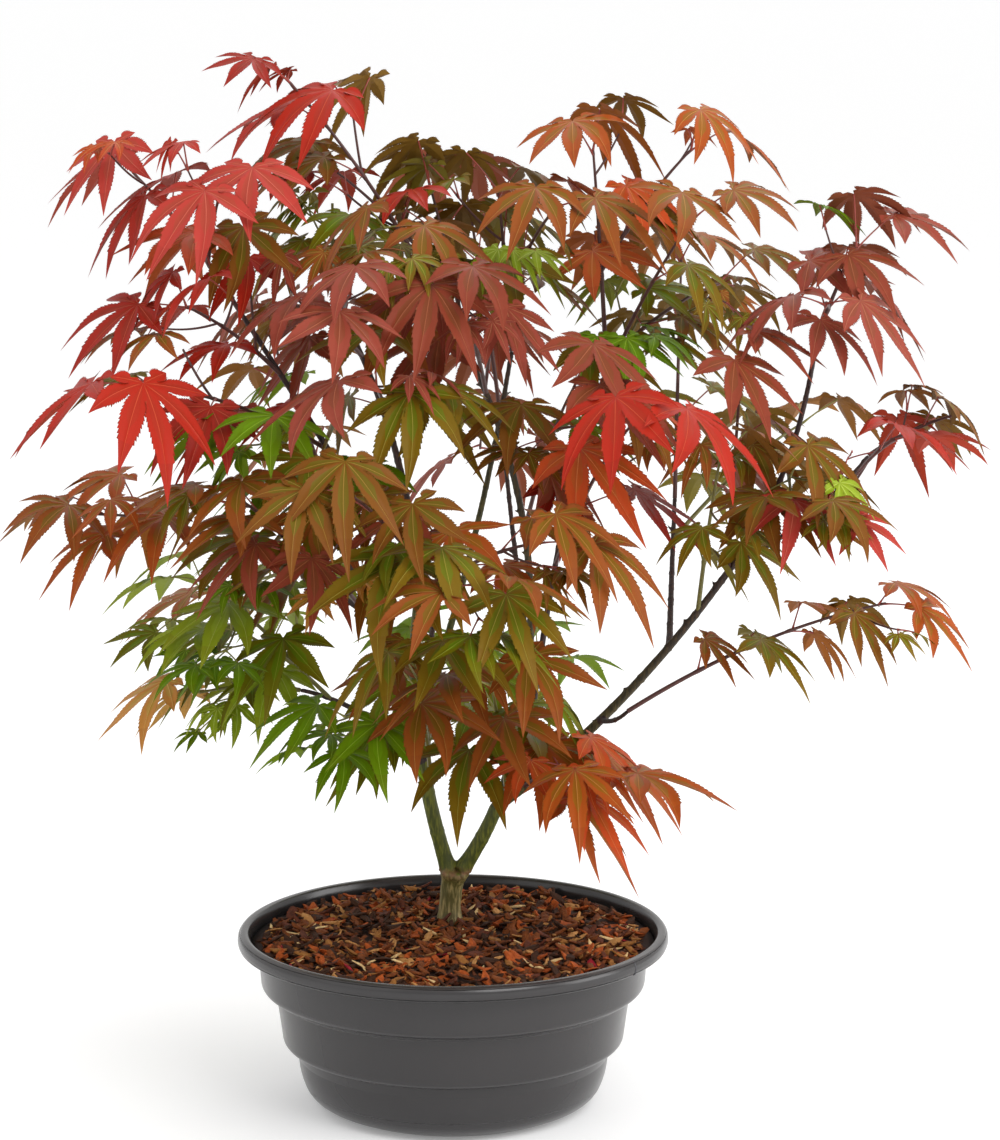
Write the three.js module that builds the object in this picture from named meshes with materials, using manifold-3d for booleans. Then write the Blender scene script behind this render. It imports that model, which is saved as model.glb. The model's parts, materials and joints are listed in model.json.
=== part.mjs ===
/**
 * A young garden maple in a round nursery bowl, in millimetres, +Z up.
 *
 * The origin is the middle of the bowl's flat underside. The plant is a short trunk that forks
 * into two stems, the limbs that grow from them, and masses of foliage: in each mass, shoots
 * branch from one stem and carry opposite pairs of five-lobed leaves on long stalks.
 */
import * as THREE from 'three';
import { mergeVertices } from 'three/addons/utils/BufferGeometryUtils.js';
import Module from 'manifold-3d';

const wasm = await Module();
wasm.setup();

// ---------------------------------------------------------------- driving sizes

/** Clearance between neighbouring pieces. */
const GAP = 0.3;
/** Edges shorter than this are closed up where pieces of foliage are fused. */
const SLIVER = 0.08;
/** Flats round the bowl and the soil. */
const BOWL_FLATS = 32;

/** The bowl: three round tiers under a flat lip. */
const BOWL = {
  height: 116,
  wall: 2.4,
  lipRadius: 140,
  lipInner: 132,
  lipDepth: 12,
  upperRadius: 126.5,
  upperFoot: 119,
  upperStep: 75,
  middleRadius: 115,
  middleFoot: 106,
  middleStep: 39,
  lowerRadius: 101.5,
  footRadius: 80,
};

/** The soil under its bark mulch: level round the trunk, lower against the bowl. */
const SOIL = { edgeHeight: 105.5, topHeight: 110, levelRadius: 62 };

/** The trunk, from the soil to its fork. */
const TRUNK = {
  foot: [-3, 36],
  fork: [1, 32, 147],
  footRadius: 8.4,
  flareHeight: 0.34,
  radius: 6.3,
  forkRadius: 6.7,
};

/**
 * Limbs, each after the one it grows from. `at` is the fraction of that limb's length.
 * `tip` is [bearing in degrees, reach from the bowl's axis, height] of a limb's end, `bow` pushes
 * the middle of its line aside, and `radii` are those of its foot and its tip.
 */
const LIMBS = [
  { name: 'stem_left', from: 'trunk', at: 1, tip: [152, 24, 335],
    bow: [-20, 0, 0], radii: [4.8, 3.4] },
  { name: 'stem_right', from: 'trunk', at: 1, tip: [42, 38, 190],
    bow: [3, 0, 0], radii: [4.5, 4] },
  { name: 'bough_right', from: 'stem_right', at: 1, tip: [-2, 186, 366],
    bow: [9, 0, -20], radii: [3.7, 2.3] },
  { name: 'leader', from: 'stem_right', at: 1, tip: [110, 21, 522],
    bow: [76, 14, 0], radii: [3.1, 1.8] },
  { name: 'upright', from: 'bough_right', at: 0.1, tip: [20, 104, 500],
    bow: [-10, 20, -6], radii: [2.4, 1.7] },
  { name: 'stem_center', from: 'stem_left', at: 0.55, tip: [56, 68, 486],
    bow: [8, 10, -16], radii: [2.7, 1.7] },
  { name: 'bough_left_high', from: 'stem_left', at: 1, tip: [162, 80, 522],
    bow: [18, 14, 14], radii: [2.9, 1.7] },
  { name: 'bough_left_mid', from: 'stem_left', at: 0.96, tip: [-158, 140, 522],
    bow: [16, -12, -16], radii: [2.8, 1.7] },
  { name: 'bough_left_low', from: 'stem_left', at: 0.74, tip: [-162, 150, 378],
    bow: [6, -10, 26], radii: [2.3, 1.5] },
  { name: 'bough_left_foot', from: 'stem_left', at: 0.4, tip: [-172, 98, 276],
    bow: [-4, 0, 16], radii: [2.3, 1.6] },
  { name: 'bough_right_high', from: 'bough_right', at: 1, tip: [-2, 230, 500],
    bow: [12, 0, -14], radii: [2.2, 1.7] },
  { name: 'bough_right_far', from: 'bough_right', at: 0.95, tip: [2, 266, 424],
    bow: [8, 0, -10], radii: [1.9, 1.5] },
  { name: 'bough_right_low', from: 'bough_right', at: 0.4, tip: [-16, 116, 266],
    bow: [0, 0, -6], radii: [1.9, 1.5] },
  { name: 'bough_front', from: 'stem_left', at: 0.66, tip: [-92, 130, 378],
    bow: [0, -20, -22], radii: [2.5, 1.6] },
  { name: 'bough_back_left', from: 'stem_left', at: 0.5, tip: [122, 152, 364],
    bow: [0, 14, -24], radii: [2.7, 1.7] },
  { name: 'bough_back_right', from: 'bough_right', at: 0.68, tip: [42, 200, 378],
    bow: [0, 10, -12], radii: [2.4, 1.7] },
  { name: 'bough_back', from: 'leader', at: 0.3, tip: [78, 154, 422],
    bow: [0, 14, -20], radii: [2.3, 1.6] },
];

/**
 * Masses of foliage. The stem of each leaves its limb `at` a fraction of the limb's length.
 * A shoot is [bearing, reach, height] of its tip and its pairs of leaves; the second shoot of a
 * mass branches from the first. `leaf` is the greatest length of a leaf's middle lobe.
 */
const MASSES = [
  { name: 'leader_tip', from: 'leader', at: 1, leaf: 64, tint: 'red',
    shoots: [[-172, 102, 662, 4]] },
  { name: 'leader_side', from: 'leader', at: 0.9, leaf: 56, tint: 'bronze',
    shoots: [[110, 44, 596, 3], [148, 92, 605, 2]] },
  { name: 'high_left', from: 'bough_left_high', at: 1, leaf: 58, tint: 'olive',
    shoots: [[166, 78, 584, 3], [-124, 72, 574, 2]] },
  { name: 'high_front', from: 'bough_left_high', at: 0.78, leaf: 64, tint: 'dusk',
    shoots: [[-140, 130, 530, 2], [-116, 134, 538, 2]] },
  { name: 'left_crest', from: 'bough_left_mid', at: 1, leaf: 62, tint: 'red',
    shoots: [[-168, 200, 607, 3], [-146, 168, 592, 2]] },
  { name: 'left_shoulder', from: 'bough_left_mid', at: 0.82, leaf: 60, tint: 'red',
    shoots: [[-152, 181, 528, 3]] },
  { name: 'left_breast', from: 'bough_left_mid', at: 0.58, leaf: 66, tint: 'red',
    shoots: [[-142, 230, 486, 3]] },
  { name: 'left_inner', from: 'bough_left_mid', at: 0.35, leaf: 58, tint: 'green',
    shoots: [[-132, 168, 456, 3]] },
  { name: 'left_low_tip', from: 'bough_left_low', at: 1, leaf: 62, tint: 'rust',
    shoots: [[-166, 226, 396, 3]] },
  { name: 'left_low_front', from: 'bough_left_low', at: 0.55, leaf: 60, tint: 'bronze',
    shoots: [[-136, 184, 420, 3]] },
  { name: 'foot_left_tip', from: 'bough_left_foot', at: 1, leaf: 50, tint: 'lime',
    shoots: [[-176, 162, 274, 3]] },
  { name: 'foot_left_lime', from: 'bough_left_foot', at: 0.75, leaf: 56, tint: 'lime',
    shoots: [[-154, 152, 326, 3], [167, 170, 338, 2]] },
  { name: 'foot_left_hang', from: 'bough_left_foot', at: 0.35, leaf: 58, tint: 'green',
    shoots: [[-124, 116, 276, 2]] },
  { name: 'front_low', from: 'stem_left', at: 0.3, leaf: 62, tint: 'olive',
    shoots: [[-98, 150, 320, 3]] },
  { name: 'front_low_right', from: 'bough_right', at: 0.04, leaf: 60, tint: 'olive',
    shoots: [[-80, 142, 306, 3]] },
  { name: 'foot_right', from: 'bough_right', at: 0.1, leaf: 62, tint: 'orange',
    shoots: [[-42, 122, 238, 4]] },
  { name: 'front_rust', from: 'bough_front', at: 1, leaf: 70, tint: 'rust',
    shoots: [[-86, 214, 378, 3]] },
  { name: 'front_left', from: 'bough_front', at: 0.85, leaf: 62, tint: 'bronze',
    shoots: [[-106, 212, 432, 3]] },
  { name: 'front_right', from: 'bough_front', at: 0.9, leaf: 62, tint: 'rust',
    shoots: [[-73, 186, 398, 3]] },
  { name: 'center_mid', from: 'bough_left_high', at: 0.5, leaf: 64, tint: 'dusk',
    shoots: [[-106, 170, 490, 3]] },
  { name: 'center_low', from: 'bough_left_low', at: 0.3, leaf: 58, tint: 'bronze',
    shoots: [[-124, 166, 384, 3]] },
  { name: 'center_upper', from: 'leader', at: 0.82, leaf: 58, tint: 'dusk',
    shoots: [[-88, 95, 542, 3]] },
  { name: 'center_tip', from: 'stem_center', at: 1, leaf: 56, tint: 'bronze',
    shoots: [[54, 50, 590, 3], [-44, 92, 588, 2]] },
  { name: 'center_right', from: 'leader', at: 0.55, leaf: 60, tint: 'dusk',
    shoots: [[-58, 142, 484, 3]] },
  { name: 'upright_tip', from: 'upright', at: 1, leaf: 56, tint: 'orange',
    shoots: [[8, 90, 618, 3], [6, 152, 618, 2]] },
  { name: 'upright_side', from: 'upright', at: 0.8, leaf: 56, tint: 'bronze',
    shoots: [[-22, 162, 582, 3], [24, 190, 528, 2]] },
  { name: 'upright_green', from: 'upright', at: 0.62, leaf: 56, tint: 'green',
    shoots: [[18, 128, 514, 3]] },
  { name: 'right_front', from: 'upright', at: 0.5, leaf: 66, tint: 'red',
    shoots: [[-56, 206, 474, 3]] },
  { name: 'right_mid', from: 'bough_right', at: 0.93, leaf: 60, tint: 'dusk',
    shoots: [[-22, 192, 482, 3]] },
  { name: 'right_green', from: 'bough_right', at: 0.8, leaf: 50, tint: 'olive',
    shoots: [[-26, 184, 434, 2]] },
  { name: 'right_tip', from: 'bough_right_high', at: 1, leaf: 56, tint: 'dusk',
    shoots: [[-2, 254, 558, 3], [-12, 236, 526, 2]] },
  { name: 'right_side', from: 'bough_right_high', at: 0.45, leaf: 58, tint: 'olive',
    shoots: [[-24, 228, 412, 3]] },
  { name: 'right_far', from: 'bough_right_far', at: 1, leaf: 56, tint: 'red',
    shoots: [[1, 318, 450, 3], [-18, 250, 406, 2]] },
  { name: 'right_low', from: 'bough_right_low', at: 1, leaf: 44, tint: 'rust',
    shoots: [[-7, 276, 336, 5]] },
  { name: 'back_left_high', from: 'bough_back_left', at: 1, leaf: 58, tint: 'bronze',
    shoots: [[124, 232, 486, 3]] },
  { name: 'back_left_low', from: 'bough_back_left', at: 0.8, leaf: 58, tint: 'olive',
    shoots: [[128, 262, 300, 3]] },
  { name: 'back_top', from: 'bough_back', at: 1, leaf: 58, tint: 'dusk',
    shoots: [[88, 176, 590, 3], [86, 236, 398, 2]] },
  { name: 'back_right_high', from: 'bough_back_right', at: 1, leaf: 58, tint: 'bronze',
    shoots: [[50, 240, 536, 3]] },
  { name: 'back_right_mid', from: 'bough_back_right', at: 0.75, leaf: 58, tint: 'olive',
    shoots: [[37, 300, 424, 3]] },
  { name: 'back_low', from: 'stem_left', at: 0.38, leaf: 56, tint: 'green',
    shoots: [[94, 194, 268, 2], [74, 214, 258, 2]] },
];

/**
 * How shoots, side twigs and leaves grow. Places are fractions of a shoot's length, stalk lengths
 * and leaf scales are fractions of `leaf`, and angles are in radians.
 */
const GROWTH = {
  seed: 44,
  shootRadius: 1.6,
  tipRadius: 1.2,
  lift: 0.1,
  branchAt: 0.3,
  firstPair: 0.28,
  lastPair: 0.98,
  twigPair: 0.94,
  twigChance: 0.06,
  twigLength: [26, 46],
  twigRadius: 1.2,
  stalkLength: [0.34, 0.62],
  stalkRadius: 0.45,
  rootStart: 0.3,
  stagger: 1.5,
  leafScale: [0.76, 1],
  pitch: [0.1, 0.72],
  droop: [0.12, 0.36],
  swing: 0.4,
  roll: 0.35,
};

/** Ways a leaf may turn to keep clear, tried in this order: [turn, extra pitch, scale]. */
const LEAF_TURNS = [
  [0, 0, 1], [0.5, 0.1, 0.95], [-0.5, 0.1, 0.95], [0.25, -0.3, 0.85], [-0.3, 0.4, 0.75],
  [0.95, 0, 0.85], [-0.95, 0, 0.85], [0.3, -0.3, 0.65], [0, 0.5, 0.6],
];

/** A blade: lobes as [angle in degrees, length], the notches between them and the foot behind. */
const BLADE = {
  lobes: [[-82, 0.7], [-40, 0.92], [0, 1], [40, 0.92], [82, 0.7]],
  notch: 0.3,
  foot: 0.07,
  footAngle: 145,
  thickness: 1.8,
};

/** The air that the foliage keeps to, and the clearance of each leaf from other pieces. */
const REACH = { left: -292, right: 348, side: 290, low: 128, top: 688, clearance: 0.6, nodeOverlap: 0.5 };

/** Colours of the pieces. */
const COLOURS = {
  bowl: 0x47474a,
  soil: 0x6b3a24,
  trunk: 0x7d7a5c,
  stem: 0x66703c,
  limb: 0x3c2a2b,
  red: 0xc03a30,
  rust: 0xa5512c,
  orange: 0xc8693a,
  bronze: 0x7d4a30,
  dusk: 0x7c3d3a,
  olive: 0x6d6a32,
  green: 0x4f8530,
  lime: 0x7fb53c,
};

// ---------------------------------------------------------------- small tools

const UP = new THREE.Vector3(0, 0, 1);
const mix = ([low, high], share) => low + (high - low) * share;
const between = (a, b, share) => new THREE.Vector3().lerpVectors(a, b, share);

/** Repeatable numbers from 0 to 1. */
function seededDraw(seed) {
  let state = seed >>> 0;
  return () => {
    state = (state + 0x6d2b79f5) >>> 0;
    let word = Math.imul(state ^ (state >>> 15), state | 1);
    word = (word + Math.imul(word ^ (word >>> 7), word | 61)) ^ word;
    return ((word ^ (word >>> 14)) >>> 0) / 4294967296;
  };
}

/** A point at a bearing in degrees and a reach from the bowl's axis, and a height. */
function place(bearing, reach, height) {
  const angle = THREE.MathUtils.degToRad(bearing);
  return new THREE.Vector3(reach * Math.cos(angle), reach * Math.sin(angle), height);
}

/** A geometry as a manifold solid, its shared vertices merged and flat slivers dropped. */
function solidOf(geometry) {
  const bare = geometry.clone();
  bare.deleteAttribute('normal');
  bare.deleteAttribute('uv');
  const merged = mergeVertices(bare, 1e-4);
  const corners = merged.index.array;
  const faces = [];
  for (let i = 0; i < corners.length; i += 3) {
    const [a, b, c] = corners.subarray(i, i + 3);
    if (a !== b && b !== c && c !== a) faces.push(a, b, c);
  }
  const vertProperties = new Float32Array(merged.attributes.position.array);
  return new wasm.Manifold(new wasm.Mesh({ numProp: 3, vertProperties, triVerts: new Uint32Array(faces) }));
}

/** A manifold solid as a geometry. */
function geometryOf(solid) {
  const { vertProperties, triVerts, numProp } = solid.getMesh();
  const positions = new Float32Array((vertProperties.length / numProp) * 3);
  for (let i = 0; i < positions.length / 3; i++) {
    for (let axis = 0; axis < 3; axis++) positions[3 * i + axis] = vertProperties[numProp * i + axis];
  }
  const geometry = new THREE.BufferGeometry();
  geometry.setAttribute('position', new THREE.BufferAttribute(positions, 3));
  geometry.setIndex(new THREE.BufferAttribute(new Uint32Array(triVerts), 1));
  geometry.computeVertexNormals();
  return geometry;
}

/** The largest body of a solid, without loose scraps. */
function largestBody(solid) {
  const bodies = solid.decompose();
  return bodies.reduce((best, body) => (body.volume() > best.volume() ? body : best));
}

/** Whether two boxes meet. */
function boxesMeet(a, b) {
  return [0, 1, 2].every((i) => a.min[i] < b.max[i] && b.min[i] < a.max[i]);
}

/** A tapering limb along a curve. `extra` fattens and lengthens it. */
function taperedTube(curve, radiusAt, sides, steps, extra = 0) {
  const section = new THREE.Shape();
  for (let i = 0; i < sides; i++) {
    const angle = (2 * Math.PI * i) / sides;
    if (i) section.lineTo(Math.cos(angle), Math.sin(angle));
    else section.moveTo(1, 0);
  }
  const tube = new THREE.ExtrudeGeometry(section, { steps, extrudePath: curve, bevelEnabled: false });
  const centers = curve.getSpacedPoints(steps);
  const tangent = curve.getTangentAt(1);
  const position = tube.attributes.position;
  const point = new THREE.Vector3();
  for (let i = 0; i < position.count; i++) {
    point.fromBufferAttribute(position, i);
    let ring = 0;
    for (let k = 1; k <= steps; k++) {
      if (centers[k].distanceToSquared(point) < centers[ring].distanceToSquared(point)) ring = k;
    }
    point.sub(centers[ring]).multiplyScalar(radiusAt(ring / steps) + extra).add(centers[ring]);
    if (ring === steps) point.addScaledVector(tangent, extra);
    position.setXYZ(i, point.x, point.y, point.z);
  }
  return tube;
}

// ---------------------------------------------------------------- bowl and soil

/** The inner line of the bowl, from the lip down to the middle of the floor. */
function bowlInside() {
  const { wall, lipInner, height, lipDepth } = BOWL;
  return [
    [lipInner, height - 1.2],
    [lipInner - 1, height - lipDepth],
    [BOWL.upperRadius - wall, height - lipDepth - 1.5],
    [BOWL.upperFoot - wall - 1, BOWL.upperStep + 5],
    [BOWL.middleRadius - wall, BOWL.upperStep],
    [BOWL.middleFoot - wall - 1, BOWL.middleStep + 5],
    [BOWL.lowerRadius - wall, BOWL.middleStep],
    [BOWL.lowerRadius - wall - 3, 16],
    [BOWL.footRadius - 1, 3],
    [0, 3],
  ];
}

/** The outer line of the bowl, from the middle of its underside up to the lip. */
function bowlOutside() {
  const { height, lipRadius, lipDepth, lipInner } = BOWL;
  return [
    [0, 0],
    [BOWL.footRadius, 0],
    [BOWL.lowerRadius - 7, 7],
    [BOWL.lowerRadius - 1.2, 20],
    [BOWL.lowerRadius, BOWL.middleStep],
    [BOWL.middleFoot, BOWL.middleStep + 1.5],
    [BOWL.middleRadius - 3.5, BOWL.middleStep + 9],
    [BOWL.middleRadius, BOWL.upperStep],
    [BOWL.upperFoot, BOWL.upperStep + 1.5],
    [BOWL.upperRadius - 1.2, BOWL.upperStep + 9],
    [BOWL.upperRadius, height - lipDepth],
    [lipRadius, height - lipDepth],
    [lipRadius, height - 2],
    [lipRadius - 2, height],
    [lipInner + 1, height],
  ];
}

/** A round body about the bowl's axis, from its closed line of [radius, height]. */
function turned(line) {
  const points = line.map(([radius, height]) => new THREE.Vector2(radius, height));
  return new THREE.LatheGeometry(points, BOWL_FLATS).rotateX(Math.PI / 2);
}

/** The bowl as one shell, walls and floor. */
function bowlGeometry() {
  return turned([...bowlOutside(), ...bowlInside()]);
}

/** The soil, clear of the bowl by the gap. */
function soilGeometry() {
  const wall = bowlInside().slice(1).map(([radius, height]) => [Math.max(radius - GAP, 0), height + GAP]);
  const edge = BOWL.lipInner - 1 - GAP;
  const top = [[0, SOIL.topHeight], [SOIL.levelRadius, SOIL.topHeight], [edge - 14, SOIL.edgeHeight + 1.2]];
  return turned([...wall.reverse(), [edge, SOIL.edgeHeight], ...top.reverse()]);
}

// ---------------------------------------------------------------- trunk and limbs

/** The trunk's line: it leaves the soil upright and leans a little to its fork. */
function trunkLimb() {
  const [x, y] = TRUNK.foot;
  const foot = new THREE.Vector3(x, y, SOIL.topHeight + GAP);
  const fork = new THREE.Vector3(...TRUNK.fork);
  const bend = new THREE.Vector3(x, y, (foot.z + fork.z) / 2);
  const radiusAt = (share) => {
    const flare = Math.max(0, 1 - share / TRUNK.flareHeight) ** 2;
    const atFoot = (TRUNK.footRadius - TRUNK.radius) * flare;
    return TRUNK.radius + atFoot + (TRUNK.forkRadius - TRUNK.radius) * share;
  };
  const curve = new THREE.QuadraticBezierCurve3(foot, bend, fork);
  return { name: 'trunk', curve, radiusAt, sides: 10, steps: 6 };
}

/** One limb's line, from the middle of the limb it grows from. */
function plainLimb({ name, from, at, tip, bow, radii }, limbs) {
  const start = limbs.get(from).curve.getPoint(at);
  const end = place(...tip);
  const middle = between(start, end, 0.5).add(new THREE.Vector3(...bow));
  const curve = new THREE.QuadraticBezierCurve3(start, middle, end);
  const radiusAt = (share) => mix(radii, share);
  const steps = Math.max(5, Math.round(curve.getLength() / 32));
  return { name, curve, radiusAt, sides: radii[0] > 3.5 ? 8 : 5, steps };
}

/** Every limb by name, each with its solid and a fatter copy that others are cut by. */
function growLimbs() {
  const limbs = new Map();
  const add = (limb) => {
    const { curve, radiusAt, sides, steps } = limb;
    let solid = solidOf(taperedTube(curve, radiusAt, sides, steps));
    for (const earlier of limbs.values()) solid = solid.subtract(earlier.fat);
    limb.solid = largestBody(solid);
    limb.fat = solidOf(taperedTube(curve, radiusAt, sides, steps, GAP));
    limbs.set(limb.name, limb);
  };
  add(trunkLimb());
  for (const row of LIMBS) add(plainLimb(row, limbs));
  return limbs;
}

// ---------------------------------------------------------------- growth of a mass

/** A leaf's stalk and blade, from the point where it stands and the way it sets out. */
function planLeaf(draw, point, direction, length) {
  const stalk = mix(GROWTH.stalkLength, draw()) * length;
  const swing = GROWTH.swing * (2 * draw() - 1);
  const pitch = mix(GROWTH.pitch, draw());
  const droop = mix(GROWTH.droop, draw());
  const size = mix(GROWTH.leafScale, draw()) * length;
  const roll = GROWTH.roll * (2 * draw() - 1);
  return { point, direction, stalk, swing, pitch, droop, size, roll };
}

/** The two leaves, or side twigs, of one node of a shoot. */
function planPair(draw, plan, curve, share, turn, length, last) {
  const node = curve.getPoint(share);
  const tangent = curve.getTangent(share);
  const side = new THREE.Vector3().crossVectors(tangent, UP).normalize();
  const over = new THREE.Vector3().crossVectors(side, tangent);
  for (const half of [0, 1]) {
    const point = node.clone().addScaledVector(tangent, GROWTH.stagger * (2 * half - 1));
    const angle = turn + half * Math.PI + 0.5 * (2 * draw() - 1);
    const out = side.clone().multiplyScalar(Math.cos(angle)).addScaledVector(over, 0.55 * Math.sin(angle));
    const direction = tangent.clone().multiplyScalar(last ? 0.75 : 0.45).addScaledVector(out, 0.85);
    direction.addScaledVector(UP, 0.22).normalize();
    const twig = draw() < GROWTH.twigChance;
    const twigLength = mix(GROWTH.twigLength, draw());
    const stem = twig && !last ? sideTwig(point, direction, twigLength) : null;
    if (stem) plan.twigs.push(stem);
    const carrier = stem ? plan.twigs.length - 1 : -1;
    const ends = stem ? [0.9, -0.9] : [0];
    for (const spread of ends) {
      const from = stem ? stem.curve.getPoint(GROWTH.twigPair) : point;
      const way = direction.clone().applyAxisAngle(UP, spread);
      plan.leaves.push({ ...planLeaf(draw, from, way, stem ? 0.88 * length : length), carrier });
    }
  }
}

/** A short twig off a shoot, bent a little upward. */
function sideTwig(point, direction, length) {
  const start = point.clone().addScaledVector(direction, GROWTH.rootStart);
  const end = start.clone().addScaledVector(direction, length);
  const middle = between(start, end, 0.5).addScaledVector(UP, -GROWTH.lift * length);
  return {
    curve: new THREE.QuadraticBezierCurve3(start, middle, end),
    radiusAt: () => GROWTH.twigRadius,
  };
}

/** The shoots, side twigs and leaves of one mass, before anything is left out. */
function planMass(mass, index, limbs) {
  const draw = seededDraw(GROWTH.seed + 101 * index);
  const plan = { twigs: [], leaves: [] };
  let start = limbs.get(mass.from).curve.getPoint(mass.at);
  for (const [bearing, reach, rise, pairs] of mass.shoots) {
    const end = place(bearing, reach, rise);
    const length = start.distanceTo(end);
    const middle = between(start, end, 0.5).addScaledVector(UP, GROWTH.lift * length);
    const curve = new THREE.QuadraticBezierCurve3(start, middle, end);
    const radiusAt = (share) => GROWTH.shootRadius + (GROWTH.tipRadius - GROWTH.shootRadius) * share;
    plan.twigs.push({ curve, radiusAt, shoot: true });
    const turn = Math.PI * draw();
    for (let k = 0; k < pairs; k++) {
      const share = pairs > 1 ? mix([GROWTH.firstPair, GROWTH.lastPair], k / (pairs - 1)) : GROWTH.lastPair;
      planPair(draw, plan, curve, share, turn + (k * Math.PI) / 2, mass.leaf, k === pairs - 1);
    }
    start = curve.getPoint(GROWTH.branchAt);
  }
  return plan;
}

// ---------------------------------------------------------------- solids of a mass

/** The hub and the axes of a blade, turned by one of the ways to keep clear. */
function bladeFrame(leaf, [turn, extraPitch, scale]) {
  const hub = leaf.point.clone().addScaledVector(leaf.direction, leaf.stalk);
  const outward = new THREE.Vector3(leaf.point.x, leaf.point.y, 0).normalize();
  const heading = new THREE.Vector3(leaf.direction.x, leaf.direction.y, 0);
  heading.addScaledVector(outward, 0.6).normalize().applyAxisAngle(UP, leaf.swing + turn);
  const pitch = leaf.pitch + extraPitch;
  const forward = heading.clone().multiplyScalar(Math.cos(pitch)).addScaledVector(UP, -Math.sin(pitch));
  const side = new THREE.Vector3().crossVectors(UP, heading).applyAxisAngle(forward, leaf.roll);
  return { hub, forward, side, size: leaf.size * scale, droop: leaf.droop };
}

/** A point of a blade, at an angle from its middle lobe and a share of its length. */
function bladePoint({ hub, forward, side, size, droop }, angle, share) {
  const turn = THREE.MathUtils.degToRad(angle);
  const point = hub.clone().addScaledVector(forward, size * share * Math.cos(turn));
  point.addScaledVector(side, size * share * Math.sin(turn));
  return point.addScaledVector(UP, -size * droop * share * share);
}

/**
 * A leaf: a thin five-lobed body, thickest at the hub, with its stalk drawn out of the facet
 * under the foot of the blade and sunk into the twig.
 */
function leafSolid(leaf, frame, thickness, stalkRadius) {
  const rim = [];
  BLADE.lobes.forEach(([angle, length], i) => {
    if (i) rim.push(bladePoint(frame, (angle + BLADE.lobes[i - 1][0]) / 2, BLADE.notch));
    rim.push(bladePoint(frame, angle, length));
  });
  for (const angle of [BLADE.footAngle, -BLADE.footAngle]) rim.push(bladePoint(frame, angle, BLADE.foot));
  const normal = new THREE.Vector3().crossVectors(frame.forward, frame.side);
  const poles = [1, -1].map((way) => frame.hub.clone().addScaledVector(normal, (way * thickness) / 2));
  const count = rim.length;
  const [top, bottom, right, left] = [count, count + 1, count - 2, count - 1];
  const hubEnd = [bottom, left, right];
  const hubPoints = [poles[1], rim[left], rim[right]];
  const hubMiddle = hubPoints.reduce((sum, point) => sum.add(point), new THREE.Vector3()).divideScalar(3);
  const twigPoints = hubPoints.map((point) => {
    const aside = point.clone().sub(hubMiddle);
    aside.addScaledVector(leaf.direction, -aside.dot(leaf.direction)).setLength(stalkRadius);
    return leaf.point.clone().addScaledVector(leaf.direction, GROWTH.rootStart).add(aside);
  });
  const faces = rim.flatMap((_, i) => {
    const next = (i + 1) % count;
    return i === right ? [top, i, next] : [top, i, next, bottom, next, i];
  });
  for (let i = 0; i < 3; i++) {
    const [near, far] = [count + 2 + i, count + 2 + ((i + 1) % 3)];
    faces.push(hubEnd[i], hubEnd[(i + 1) % 3], far, hubEnd[i], far, near);
  }
  faces.push(count + 2, count + 3, count + 4);
  const geometry = new THREE.BufferGeometry();
  const positions = [...rim, ...poles, ...twigPoints].flatMap((point) => point.toArray());
  geometry.setAttribute('position', new THREE.Float32BufferAttribute(positions, 3));
  geometry.setIndex(faces);
  return solidOf(geometry);
}

/** Whether a solid's box stays in the air that the foliage keeps to. */
function withinReach({ min, max }) {
  const across = min[0] > REACH.left && max[0] < REACH.right;
  const depth = Math.max(-min[1], max[1]) < REACH.side;
  return across && depth && min[2] > REACH.low && max[2] < REACH.top;
}

/** A leaf's solid in the first turn that touches nothing, or null where every turn does. */
function clearLeaf(leaf, own, obstacles) {
  const { clearance } = REACH;
  for (const turn of LEAF_TURNS) {
    const frame = bladeFrame(leaf, turn);
    const wide = leafSolid(leaf, { ...frame, size: frame.size + 2 * clearance },
      BLADE.thickness + 2 * clearance, GROWTH.stalkRadius + clearance);
    const box = wide.boundingBox();
    const shared = (other) => (boxesMeet(box, other.box) ? wide.intersect(other.solid).volume() : 0);
    const clearOfOwn = own.every((other) => shared(other) < REACH.nodeOverlap);
    if (clearOfOwn && withinReach(box) && obstacles.every((other) => shared(other) === 0)) {
      return leafSolid(leaf, frame, BLADE.thickness, GROWTH.stalkRadius);
    }
  }
  return null;
}

/** A solid together with its box. */
function withBox(solid) {
  return { solid, box: solid.boundingBox() };
}

/** A shoot or side twig, cut clear of the limbs, and a fatter copy that leaves keep clear of. */
function twigSolids({ curve, radiusAt, shoot }, limbSolids) {
  const steps = shoot ? Math.max(2, Math.round(curve.getLength() / 44)) : 1;
  const bare = solidOf(taperedTube(curve, radiusAt, 3, steps));
  const cut = limbSolids.reduce((solid, limb) => solid.subtract(limb.solid), bare);
  const fat = solidOf(taperedTube(curve, radiusAt, 3, steps, REACH.clearance));
  return { ...withBox(largestBody(cut)), shoot, fat };
}

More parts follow.
